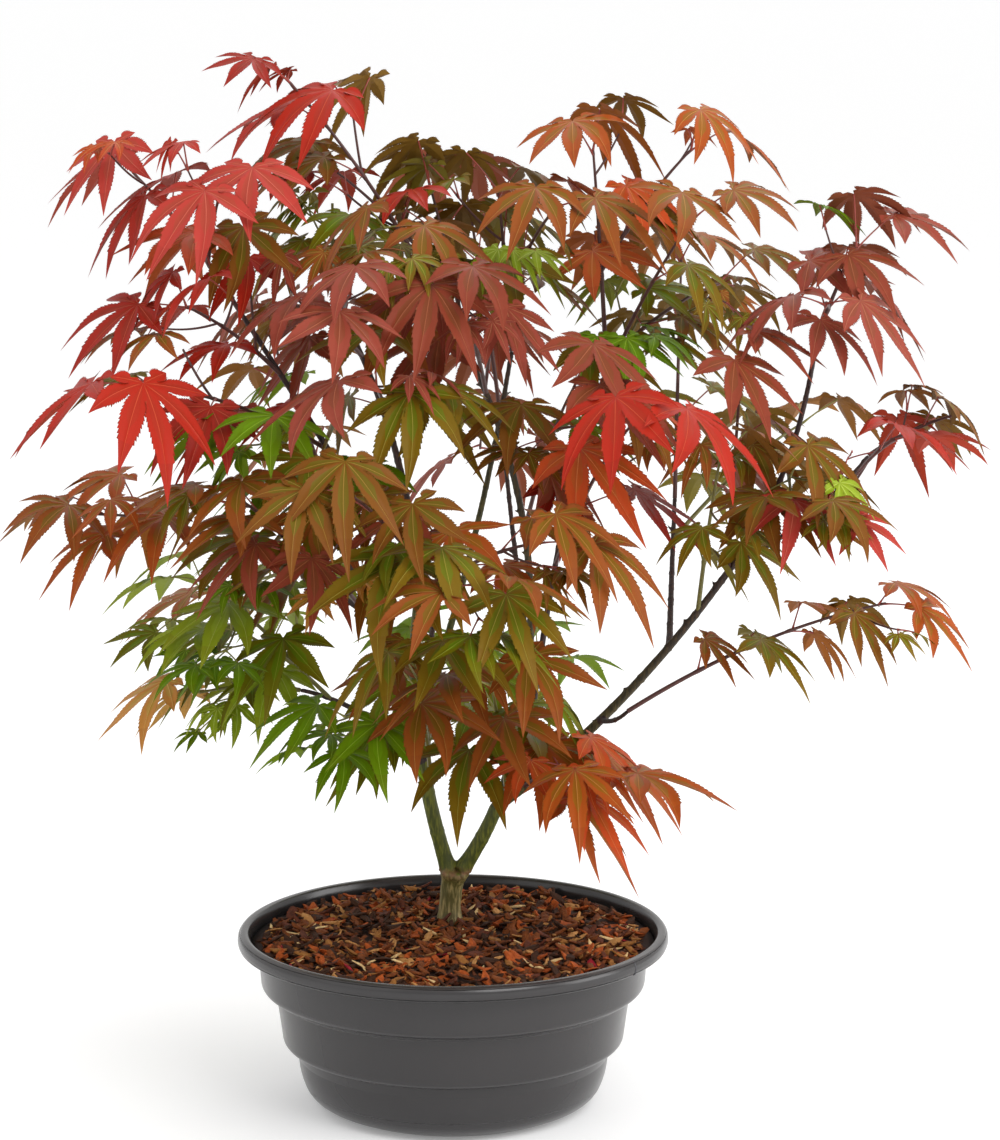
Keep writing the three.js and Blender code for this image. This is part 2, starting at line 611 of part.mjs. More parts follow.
/** Every mass as one solid. Shoots are laid first, then leaves that clear all other pieces. */
function growMasses(limbs) {
  const limbSolids = [...limbs.values()].map((limb) => withBox(limb.fat));
  const plans = MASSES.map((mass, index) => planMass(mass, index, limbs));
  const twigs = plans.map((plan) => plan.twigs.map((twig) => twigSolids(twig, limbSolids)));
  const leaves = MASSES.map(() => []);
  plans.forEach((plan, index) => {
    const others = twigs.flatMap((set, other) => (other === index ? [] : set));
    const fatOthers = others.map(({ fat }) => withBox(fat));
    const obstacles = [...limbSolids, ...fatOthers, ...leaves.slice(0, index).flat()];
    for (const leaf of plan.leaves) {
      const solid = clearLeaf(leaf, leaves[index], obstacles);
      if (solid) leaves[index].push({ ...withBox(solid), carrier: leaf.carrier });
    }
  });
  return MASSES.map(({ name, tint }, index) => {
    const isKept = (twig, row) => twig.shoot || leaves[index].some(({ carrier }) => carrier === row);
    const parts = [...twigs[index].filter(isKept), ...leaves[index]].map(({ solid }) => solid);
    return { name: `leaves_${name}`, tint, solid: largestBody(wasm.Manifold.union(parts).simplify(SLIVER)) };
  });
}

// ---------------------------------------------------------------- the whole plant

/** A named mesh with its own material. */
function namedMesh(name, geometry, colour, roughness) {
  const material = new THREE.MeshStandardMaterial({ color: colour, roughness, metalness: 0 });
  const mesh = new THREE.Mesh(geometry, material);
  mesh.name = name;
  return mesh;
}

/** The colour of a limb: bare bark on the trunk, green young stems, dark limbs above. */
function limbColour(name) {
  if (name === 'trunk') return COLOURS.trunk;
  return name.startsWith('stem') ? COLOURS.stem : COLOURS.limb;
}

const plant = new THREE.Group();
plant.add(namedMesh('bowl', bowlGeometry(), COLOURS.bowl, 0.45));
plant.add(namedMesh('soil', soilGeometry(), COLOURS.soil, 0.95));
const limbs = growLimbs();
for (const { name, solid } of limbs.values()) {
  plant.add(namedMesh(name, geometryOf(solid), limbColour(name), 0.7));
}
for (const { name, tint, solid } of growMasses(limbs)) {
  plant.add(namedMesh(name, geometryOf(solid), COLOURS[tint], 0.6));
}

export default plant;
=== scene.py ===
"""Looks of a young garden maple in a round nursery bowl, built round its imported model.

The limbs and the foliage follow the growth rule of the model's own source, written again here
in millimetres, and are carried to finer stalks and blades. Meshes are in metres, +Z up.
"""

import json
import logging
import math
from dataclasses import dataclass, field, replace
from enum import Enum
from functools import cache
from typing import Callable, Iterable, Sequence

import bmesh
import bpy
import numpy as np
from mathutils import Matrix, Vector, noise
from mathutils.bvhtree import BVHTree
from mathutils.kdtree import KDTree

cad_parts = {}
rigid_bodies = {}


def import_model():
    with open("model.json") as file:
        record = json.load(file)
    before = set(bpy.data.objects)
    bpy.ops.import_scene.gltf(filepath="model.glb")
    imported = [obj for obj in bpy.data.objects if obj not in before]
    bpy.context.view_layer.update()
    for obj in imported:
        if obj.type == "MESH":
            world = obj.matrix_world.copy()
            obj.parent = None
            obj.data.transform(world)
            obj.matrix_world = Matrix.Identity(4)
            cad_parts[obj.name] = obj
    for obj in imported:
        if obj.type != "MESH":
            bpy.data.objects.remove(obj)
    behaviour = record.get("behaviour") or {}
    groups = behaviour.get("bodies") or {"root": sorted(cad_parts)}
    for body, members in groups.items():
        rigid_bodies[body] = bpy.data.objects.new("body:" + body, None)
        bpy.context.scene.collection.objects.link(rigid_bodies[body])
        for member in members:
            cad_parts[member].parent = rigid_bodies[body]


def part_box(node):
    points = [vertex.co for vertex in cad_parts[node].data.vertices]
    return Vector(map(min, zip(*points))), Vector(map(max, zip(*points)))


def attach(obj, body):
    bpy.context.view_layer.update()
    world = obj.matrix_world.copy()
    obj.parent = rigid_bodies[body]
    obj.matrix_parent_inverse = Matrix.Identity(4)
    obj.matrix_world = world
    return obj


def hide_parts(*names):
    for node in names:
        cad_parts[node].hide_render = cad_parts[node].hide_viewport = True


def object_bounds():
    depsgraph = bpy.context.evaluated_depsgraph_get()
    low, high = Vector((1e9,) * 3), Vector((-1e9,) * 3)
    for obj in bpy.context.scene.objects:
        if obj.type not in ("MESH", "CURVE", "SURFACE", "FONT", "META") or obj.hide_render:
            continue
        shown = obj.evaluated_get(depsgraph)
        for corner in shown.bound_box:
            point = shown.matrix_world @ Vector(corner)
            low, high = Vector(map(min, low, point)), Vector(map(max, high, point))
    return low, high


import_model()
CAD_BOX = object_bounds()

LOG = logging.getLogger("potted_maple")
MM = 0.001
UP = Vector((0.0, 0.0, 1.0))
BODY = "root"

Rgb = tuple[int, int, int]
Spot = tuple[float, float, float]
Span = tuple[float, float]
Pairs = tuple[Span, ...]
RadiusAt = Callable[[float], float]
Material = bpy.types.Material
Mesh = bpy.types.Mesh
Node = bpy.types.Node
Piece = bpy.types.Object
Socket = bpy.types.NodeSocket
Tree = bpy.types.NodeTree

#: The sockets of the mix node that carry colours, and those of the random node for plain numbers.
MIX_FACTOR, MIX_FIRST, MIX_SECOND, MIX_RESULT = 0, 6, 7, 2
RANDOM_LOW, RANDOM_HIGH, RANDOM_RESULT = 2, 3, 1


# -------- small tools


def mix(span: Sequence[float], share: float) -> float:
    """A value between the two ends of a span."""
    return span[0] + (span[1] - span[0]) * share


def blend(first: Rgb, second: Rgb, share: float) -> Rgb:
    """A screen colour between two others."""
    return tuple(round(a + (b - a) * share) for a, b in zip(first, second))


def linear(colour: Rgb) -> tuple[float, float, float, float]:
    """A screen colour, each channel 0 to 255, as linear light with full alpha."""
    channels = [value / 255 for value in colour]
    light = [c / 12.92 if c <= 0.04045 else ((c + 0.055) / 1.055) ** 2.4 for c in channels]
    return (*light, 1.0)


def place(bearing: float, reach: float, height: float) -> Vector:
    """A point at a bearing in degrees and a reach from the bowl's axis, and a height."""
    angle = math.radians(bearing)
    return Vector((reach * math.cos(angle), reach * math.sin(angle), height))


class SeededDraw:
    """Repeatable numbers from 0 to 1, the same ones as the model's source draws."""

    MASK = 0xFFFFFFFF

    def __init__(self, seed: int) -> None:
        """Starts the row of numbers at a seed."""
        self.state = seed & self.MASK

    def __call__(self) -> float:
        """The next number."""
        self.state = (self.state + 0x6D2B79F5) & self.MASK
        word = ((self.state ^ (self.state >> 15)) * (self.state | 1)) & self.MASK
        stirred = ((word ^ (word >> 7)) * (word | 61)) & self.MASK
        word = ((word + stirred) & self.MASK) ^ word
        return ((word ^ (word >> 14)) & self.MASK) / 4294967296

    def span(self, low: float, high: float) -> float:
        """The next number, scaled to lie between two ends."""
        return low + (high - low) * self()

    def pick(self, options: Sequence) -> object:
        """One of the options."""
        return options[min(int(self() * len(options)), len(options) - 1)]


@dataclass(frozen=True)
class Bend:
    """A line with one bend: a quadratic curve through space."""

    start: Vector
    middle: Vector
    end: Vector

    def point(self, share: float) -> Vector:
        """The point at a share of the curve, from 0 to 1."""
        rest = 1 - share
        return rest * rest * self.start + 2 * rest * share * self.middle + share * share * self.end

    def tangent(self, share: float) -> Vector:
        """The unit direction at a share of the curve."""
        way = (1 - share) * (self.middle - self.start) + share * (self.end - self.middle)
        return way.normalized()

    def length(self) -> float:
        """Its length, from 24 chords."""
        points = [self.point(i / 24) for i in range(25)]
        return sum((b - a).length for a, b in zip(points, points[1:]))


def tube_rings(bend: Bend, radius_at: RadiusAt, sides: int, steps: int) -> list[list[Vector]]:
    """Rings of points round a bend.

    Args:
        bend: The line in the middle.
        radius_at: The radius at a share of the line.
        sides: Points in a ring.
        steps: Rings after the first.

    Returns:
        One list of points for each ring, with no twist between them.
    """
    tangent = bend.tangent(0)
    side = tangent.cross(UP if abs(tangent.z) < 0.9 else Vector((1, 0, 0))).normalized()
    rings = []
    for step in range(steps + 1):
        share = step / steps
        tangent = bend.tangent(share)
        side = (side - tangent * side.dot(tangent)).normalized()
        over = tangent.cross(side)
        centre, radius = bend.point(share), radius_at(share)
        turns = [2 * math.pi * i / sides for i in range(sides)]
        rings.append([centre + radius * (side * math.cos(a) + over * math.sin(a)) for a in turns])
    return rings


def ring_faces(count: int, sides: int, first: int = 0) -> list[tuple[int, ...]]:
    """Faces of a closed tube of rings: its sides and both ends, outward.

    Args:
        count: How many rings it has.
        sides: Points in a ring.
        first: The number of its first point.

    Returns:
        The corners of each face.
    """
    faces = []
    for ring in range(count - 1):
        low = first + ring * sides
        for i in range(sides):
            j = (i + 1) % sides
            faces.append((low + i, low + j, low + sides + j, low + sides + i))
    faces.append(tuple(first + i for i in reversed(range(sides))))
    faces.append(tuple(first + (count - 1) * sides + i for i in range(sides)))
    return faces


def new_object(name: str, mesh: Mesh) -> Piece:
    """An object for a mesh, linked to the scene and left at the origin."""
    piece = bpy.data.objects.new(name, mesh)
    bpy.context.scene.collection.objects.link(piece)
    return piece


def mesh_of(name: str, points: Iterable, faces: Iterable) -> Mesh:
    """A mesh in metres from points in millimetres and their faces."""
    mesh = bpy.data.meshes.new(name)
    mesh.from_pydata([tuple(c * MM for c in point) for point in points], [], list(faces))
    mesh.validate()
    return mesh


def finished(name: str, mesh: Mesh, nodes: Sequence[str]) -> Piece:
    """Makes a finished piece and hands it to the frame.

    Args:
        name: The piece's name.
        mesh: Its mesh, in place and dressed.
        nodes: The model's nodes that it stands for.

    Returns:
        The piece, at the origin and without modifiers.
    """
    piece = new_object(name, mesh)
    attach(piece, BODY)
    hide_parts(*nodes)
    LOG.info("%s: %d faces for %d nodes", piece.name, len(piece.data.polygons), len(nodes))
    return piece


# -------- node trees


class Wiring:
    """Adds the nodes of a tree and joins them."""

    def __init__(self, tree: Tree) -> None:
        """Works on a tree that exists."""
        self.tree = tree

    def add(self, kind: str, **settings: object) -> Node:
        """A new node with its properties set."""
        node = self.tree.nodes.new(kind)
        for key, value in settings.items():
            setattr(node, key, value)
        return node

    def put(self, kind: str, **inputs: object) -> Node:
        """A new node with its inputs set or linked."""
        return self.feed(self.add(kind), **inputs)

    def link(self, source: Socket, target: Socket) -> None:
        """Joins an output to an input."""
        self.tree.links.new(source, target)

    def feed(self, node: Node, **inputs: object) -> Node:
        """Sets or links inputs by name, with _ for a space."""
        for key, value in inputs.items():
            socket = node.inputs[key.replace("_", " ")]
            if isinstance(value, Socket):
                self.link(value, socket)
            else:
                socket.default_value = value
        return node

    def end(self, geometry: Socket, material: Socket, leave: Node) -> None:
        """Ends a Geometry Nodes tree: makes instances real, dresses them and hands them on."""
        real = self.put("GeometryNodeRealizeInstances", Geometry=geometry)
        dressed = self.put("GeometryNodeSetMaterial", Geometry=real.outputs[0], Material=material)
        self.link(dressed.outputs["Geometry"], leave.inputs["Geometry"])


def new_material(name: str, roughness: float, specular: float = 0.5) -> tuple[Material, Wiring, Node]:
    """A material, its tree and its shader, with plain gloss values set on the shader.

    Args:
        name: Its name.
        roughness: How dull it is.
        specular: How strongly it mirrors.

    Returns:
        The material, its wiring and its shader.
    """
    material = bpy.data.materials.new(name)
    material.use_nodes = True
    shader = material.node_tree.nodes["Principled BSDF"]
    shader.inputs["Roughness"].default_value = roughness
    shader.inputs["Specular IOR Level"].default_value = specular
    return material, Wiring(material.node_tree), shader


def new_tree(name: str, family: str, inputs: Sequence[tuple], output: str) -> tuple[Wiring, Node, Node]:
    """Starts a node group with named inputs and one output.

    Args:
        name: The group's name.
        family: Shader or Geometry.
        inputs: The name of each input, its kind, and where it has one what it starts at.
        output: The name of the output, a Float in a shader group and otherwise a Geometry.

    Returns:
        The wiring of its tree, its input node and its output node.
    """
    group = bpy.data.node_groups.new(name, f"{family}NodeTree")
    for given, kind, *start in inputs:
        socket = group.interface.new_socket(given, in_out="INPUT", socket_type=f"NodeSocket{kind}")
        if start:
            socket.default_value = start[0]
    kind = "Float" if family == "Shader" else "Geometry"
    group.interface.new_socket(output, in_out="OUTPUT", socket_type=f"NodeSocket{kind}")
    tree = Wiring(group)
    return tree, tree.add("NodeGroupInput"), tree.add("NodeGroupOutput")


@cache
def grain_group() -> Tree:
    """The shared group for grain: noise on object coordinates, drawn out along Z.

    Returns:
        The group, with inputs Scale, Stretch, Detail and output Mask.
    """
    inputs = (("Scale", "Float", 200.0), ("Stretch", "Float", 1.0), ("Detail", "Float", 3.0))
    tree, entry, leave = new_tree("stretched_grain", "Shader", inputs, "Mask")
    spot = tree.add("ShaderNodeTexCoord").outputs["Object"]
    stretch = tree.put("ShaderNodeCombineXYZ", X=1.0, Y=1.0, Z=entry.outputs["Stretch"])
    scaled = tree.add("ShaderNodeVectorMath", operation="MULTIPLY")
    tree.link(spot, scaled.inputs[0])
    tree.link(stretch.outputs[0], scaled.inputs[1])
    scale, detail = entry.outputs["Scale"], entry.outputs["Detail"]
    cloud = tree.put("ShaderNodeTexNoise", Vector=scaled.outputs[0], Scale=scale, Detail=detail)
    tree.link(cloud.outputs["Fac"], leave.inputs["Mask"])
    return tree.tree


@cache
def specks_group() -> Tree:
    """The shared group for specks: small cells on object coordinates.

    Returns:
        The group, with inputs Scale, Size and output Mask, which is 1 inside a speck.
    """
    inputs = (("Scale", "Float", 300.0), ("Size", "Float", 0.2))
    tree, entry, leave = new_tree("fine_specks", "Shader", inputs, "Mask")
    spot = tree.add("ShaderNodeTexCoord").outputs["Object"]
    cells = tree.put("ShaderNodeTexVoronoi", Vector=spot, Scale=entry.outputs["Scale"])
    within = tree.add("ShaderNodeMath", operation="LESS_THAN")
    tree.link(cells.outputs["Distance"], within.inputs[0])
    tree.link(entry.outputs["Size"], within.inputs[1])
    tree.link(within.outputs[0], leave.inputs["Mask"])
    return tree.tree


def grain(tree: Wiring, scale: float, stretch: float = 1.0, detail: float = 3.0) -> Socket:
    """The mask of a grain group placed in a material."""
    node = tree.add("ShaderNodeGroup", node_tree=grain_group())
    tree.feed(node, Scale=scale, Stretch=stretch, Detail=detail)
    return node.outputs["Mask"]


def specks(tree: Wiring, scale: float, size: float) -> Socket:
    """The mask of a specks group placed in a material."""
    node = tree.add("ShaderNodeGroup", node_tree=specks_group())
    tree.feed(node, Scale=scale, Size=size)
    return node.outputs["Mask"]


def ramp(tree: Wiring, factor: Socket, stops: Sequence[tuple[float, Rgb]]) -> Socket:
    """A colour that runs through stops of (place, screen colour).

    Args:
        tree: The material's wiring.
        factor: Where on the ramp.
        stops: The (place, screen colour) of each stop.

    Returns:
        The colour.
    """
    node = tree.add("ShaderNodeValToRGB")
    band = node.color_ramp
    while len(band.elements) < len(stops):
        band.elements.new(0.5)
    for element, (where, colour) in zip(band.elements, stops):
        element.position = where
        element.color = linear(colour)
    tree.link(factor, node.inputs["Fac"])
    return node.outputs["Color"]


def mixed(tree: Wiring, factor: object, first: object, second: object, how: str = "MIX") -> Socket:
    """Two colours mixed by a factor; each may be a socket or a screen colour."""
    node = tree.add("ShaderNodeMix", data_type="RGBA", blend_type=how)
    for index, value in ((MIX_FACTOR, factor), (MIX_FIRST, first), (MIX_SECOND, second)):
        if isinstance(value, Socket):
            tree.link(value, node.inputs[index])
        else:
            node.inputs[index].default_value = linear(value) if isinstance(value, tuple) else value
    return node.outputs[MIX_RESULT]


def number(tree: Wiring, factor: Socket, low: float, high: float) -> Socket:
    """A mask from 0 to 1 brought to a span."""
    return tree.put("ShaderNodeMapRange", Value=factor, To_Min=low, To_Max=high).outputs["Result"]


def relief(tree: Wiring, shader: Node, height: Socket, depth: float, strength: float) -> None:
    """Feeds a bump of a depth in metres to a shader's normal."""
    bump = tree.put("ShaderNodeBump", Height=height, Distance=depth, Strength=strength)
    tree.link(bump.outputs["Normal"], shader.inputs["Normal"])


# -------- finishes


@dataclass(frozen=True)
class PlasticFinish:
    """Satin moulded plastic, dusty and a little scuffed, greyer on its lip."""

    base: Rgb = (42, 40, 41)
    worn: Rgb = (54, 52, 52)
    dust: Rgb = (104, 98, 95)
    lip: Rgb = (74, 68, 66)
    lip_from: float = 0.1125
    lip_to: float = 0.1165
    roughness: Span = (0.17, 0.3)

    def material(self) -> Material:
        """The bowl's material."""
        material, tree, shader = new_material("bowl_plastic", self.roughness[0])
        cloud = grain(tree, 14.0, 0.5, 4.0)
        scuffs = grain(tree, 70.0, 1.6, 5.0)
        colour = mixed(tree, number(tree, cloud, -0.2, 0.8), self.base, self.worn)
        dust = specks(tree, 900.0, 0.09)
        colour = mixed(tree, number(tree, dust, 0.0, 0.3), colour, self.dust)
        spot = tree.add("ShaderNodeSeparateXYZ")
        tree.link(tree.add("ShaderNodeTexCoord").outputs["Object"], spot.inputs[0])
        # The top band of the lip is made lighter, toward the lip colour, in patches that follow the scuffs.
        band = {"From_Min": self.lip_from, "From_Max": self.lip_to}
        upper = tree.put("ShaderNodeMapRange", Value=spot.outputs["Z"], **band)
        lip_top_lightened = tree.add("ShaderNodeMath", operation="MULTIPLY")
        tree.link(upper.outputs["Result"], lip_top_lightened.inputs[0])
        tree.link(number(tree, scuffs, -0.2, 1.2), lip_top_lightened.inputs[1])
        colour = mixed(tree, lip_top_lightened.outputs[0], colour, self.lip)
        tree.link(colour, shader.inputs["Base Color"])
        tree.link(number(tree, scuffs, *self.roughness), shader.inputs["Roughness"])
        relief(tree, shader, grain(tree, 1800.0, 1.0, 2.0), 0.0001, 0.08)
        return material


@dataclass(frozen=True)
class BarkFinish:
    """Bark that runs from grey trunk bark through green stems to dark purple boughs."""

    ages: tuple[float, ...] = (0.0, 0.3, 0.62, 1.0)
    trunk: Rgb = (104, 94, 44)
    trunk_pale: Rgb = (190, 166, 112)
    stem: Rgb = (72, 80, 6)
    stem_pale: Rgb = (126, 130, 36)
    bough: Rgb = (44, 27, 28)
    bough_pale: Rgb = (84, 58, 50)
    scar: Rgb = (168, 128, 84)

    def material(self) -> Material:
        """The material of the trunk and the limbs. It reads the piece's age and scar attributes."""
        material, tree, shader = new_material("limb_bark", 0.6)
        age = tree.add("ShaderNodeAttribute", attribute_name="age").outputs["Fac"]
        scar = tree.add("ShaderNodeAttribute", attribute_name="scar").outputs["Fac"]
        streaks = grain(tree, 620.0, 0.16, 5.0)
        flecks = grain(tree, 1500.0, 0.3, 3.0)
        darks = (self.trunk, self.stem, self.stem, self.bough)
        pales = (self.trunk_pale, self.stem_pale, self.stem_pale, self.bough_pale)
        dark = ramp(tree, age, tuple(zip(self.ages, darks)))
        pale = ramp(tree, age, tuple(zip(self.ages, pales)))
        share = tree.put("ShaderNodeMapRange", Value=streaks, From_Min=0.42, From_Max=0.68)
        colour = mixed(tree, share.outputs["Result"], dark, pale)
        colour = mixed(tree, number(tree, flecks, 0.0, 0.4), colour, (70, 60, 40), "MULTIPLY")
        colour = mixed(tree, scar, colour, mixed(tree, flecks, self.scar, (84, 44, 34)))
        tree.link(colour, shader.inputs["Base Color"])
        tree.link(number(tree, streaks, 0.45, 0.8), shader.inputs["Roughness"])
        relief(tree, shader, flecks, 0.0006, 0.5)
        return material


@dataclass(frozen=True)
class TwigFinish:
    """Smooth young twig, lightly mottled."""

    name: str
    dark: Rgb
    pale: Rgb

    def material(self) -> Material:
        """The material of twigs of one colour."""
        material, tree, shader = new_material(self.name, 0.5)
        mottle = grain(tree, 260.0, 0.5, 3.0)
        tree.link(mixed(tree, mottle, self.dark, self.pale), shader.inputs["Base Color"])
        relief(tree, shader, grain(tree, 1400.0, 0.3, 2.0), 0.0003, 0.3)
        return material


@dataclass(frozen=True)
class ChipFinish:
    """Dry bark in one shade, with fibres."""

    name: str
    dark: Rgb
    pale: Rgb

    def material(self) -> Material:
        """The material of the chips of one shade."""
        material, tree, shader = new_material(self.name, 0.85, 0.3)
        fibres = grain(tree, 420.0, 0.7, 5.0)
        colour = mixed(tree, number(tree, fibres, -0.3, 1.3), self.dark, self.pale)
        tree.link(colour, shader.inputs["Base Color"])
        relief(tree, shader, grain(tree, 900.0, 1.0, 4.0), 0.0008, 0.7)
        return material


class Tint(Enum):
    """Tints of the model's masses of foliage."""

    RED = "red"
    RUST = "rust"
    ORANGE = "orange"
    BRONZE = "bronze"
    DUSK = "dusk"
    OLIVE = "olive"
    GREEN = "green"
    LIME = "lime"


class Face(Enum):
    """Kinds of faces on a blade, each with a colour of its own."""

    BLADE = 0
    HEART = 1
    TAIL = 2
    UNDER = 3
    VEIN = 4


@dataclass(frozen=True)
class LeafPaint:
    """The plain colours of one paint of leaf, and the tint that it belongs to."""

    name: str
    tint: Tint
    blade: Rgb
    heart: Rgb
    vein: Rgb
    roughness: float = 0.46
    dull_under: float = 0.15
    specular: float = 0.14
    tail: Rgb = (96, 30, 22)
    # The pale colour mixed into the underside: partly the real paler underside of a leaf, partly painted
    # glow of light shining through it.
    bloom: Rgb = (150, 130, 90)

    def colours(self) -> dict[Face, Rgb]:
        """The colour of each kind of face."""
        return {
            Face.BLADE: self.blade,
            Face.HEART: self.heart,
            Face.TAIL: blend(self.blade, self.tail, 0.1),
            # The underside mixes toward a pale tan: its own paler colour, brightened as painted glow of
            # light through the leaf.
            Face.UNDER: blend(blend(self.blade, self.heart, 0.5), self.bloom, 0.18),
            Face.VEIN: self.vein,
        }

    def materials(self) -> list[Material]:
        """One plain material for each kind of face, in the order of Face."""
        made = []
        for face, colour in self.colours().items():
            roughness = self.roughness + (self.dull_under if face is Face.UNDER else 0.0)
            name = f"leaf_{self.name}_{face.name.lower()}"
            material, _, shader = new_material(name, roughness, self.specular)
            shader.inputs["Base Color"].default_value = linear(colour)
            made.append(material)
        return made


PAINTS = (
    LeafPaint("scarlet", Tint.RED, (172, 38, 20), (166, 42, 22), (196, 78, 48)),
    LeafPaint("crimson", Tint.RED, (152, 38, 26), (142, 42, 26), (178, 76, 54)),
    LeafPaint("coral", Tint.RED, (180, 60, 50), (172, 66, 50), (206, 104, 84)),
    LeafPaint("dusky", Tint.DUSK, (146, 64, 48), (136, 66, 44), (176, 104, 76)),
    LeafPaint("wine", Tint.DUSK, (134, 58, 38), (124, 62, 34), (162, 92, 60)),
    LeafPaint("bronze", Tint.BRONZE, (142, 74, 26), (124, 88, 20), (174, 122, 60)),
    LeafPaint("umber", Tint.BRONZE, (120, 72, 18), (106, 88, 16), (156, 120, 52)),
    LeafPaint("rust", Tint.RUST, (164, 76, 24), (146, 90, 22), (190, 126, 62)),
    LeafPaint("ember", Tint.RUST, (182, 70, 28), (172, 78, 30), (206, 118, 66)),
    LeafPaint("orange", Tint.ORANGE, (190, 88, 42), (184, 98, 44), (214, 140, 84)),
    LeafPaint("amber", Tint.ORANGE, (192, 130, 56), (183, 140, 57), (214, 172, 98)),
    LeafPaint("olive", Tint.OLIVE, (120, 94, 14), (104, 108, 16), (158, 144, 58)),
    LeafPaint("moss", Tint.OLIVE, (106, 104, 8), (98, 120, 12), (144, 152, 50)),
    LeafPaint("green", Tint.GREEN, (94, 124, 4), (100, 136, 10), (142, 170, 48)),
    LeafPaint("lime", Tint.LIME, (134, 152, 30), (142, 164, 40), (176, 190, 86)),
)

#: What each tint is dealt out as, spray by spray: the names of paints, repeated by weight.
DEALT = {
    Tint.RED: ("scarlet", "crimson", "scarlet", "crimson", "ember", "umber"),
    Tint.DUSK: ("dusky", "wine", "bronze", "dusky", "umber", "olive"),
    Tint.BRONZE: ("bronze", "umber", "olive", "wine", "olive", "umber"),
    Tint.RUST: ("rust", "bronze", "rust", "umber", "olive"),
    Tint.ORANGE: ("ember", "rust", "orange", "umber"),
    Tint.OLIVE: ("olive", "umber", "moss", "bronze", "olive"),
    Tint.GREEN: ("green", "moss", "green", "olive"),
    Tint.LIME: ("lime", "green", "moss", "lime"),
}

#: What the sprays at the tips of shoots are dealt out as.
DEALT_TIPS = {
    Tint.RED: ("scarlet", "scarlet", "coral", "crimson"),
    Tint.DUSK: ("dusky", "wine", "dusky"),
    Tint.BRONZE: ("bronze", "wine", "umber"),
    Tint.RUST: ("rust", "bronze"),
    Tint.ORANGE: ("orange", "ember", "rust"),
    Tint.OLIVE: ("bronze", "olive", "umber"),
    Tint.GREEN: ("green", "moss"),
    Tint.LIME: ("lime", "amber", "lime"),
}

#: What the small sprays inside the crown are dealt out as.
DEALT_INSIDE = {
    Tint.RED: ("umber", "olive", "moss", "bronze"),
    Tint.DUSK: ("olive", "umber", "green", "moss", "green"),
    Tint.BRONZE: ("olive", "moss", "amber", "green", "lime"),
    Tint.RUST: ("olive", "umber", "moss", "green"),
    Tint.ORANGE: ("rust", "olive", "green"),
    Tint.OLIVE: ("moss", "green", "olive", "lime"),
    Tint.GREEN: ("green", "lime", "green", "moss"),
    Tint.LIME: ("green", "lime", "green"),
}


# -------- bowl


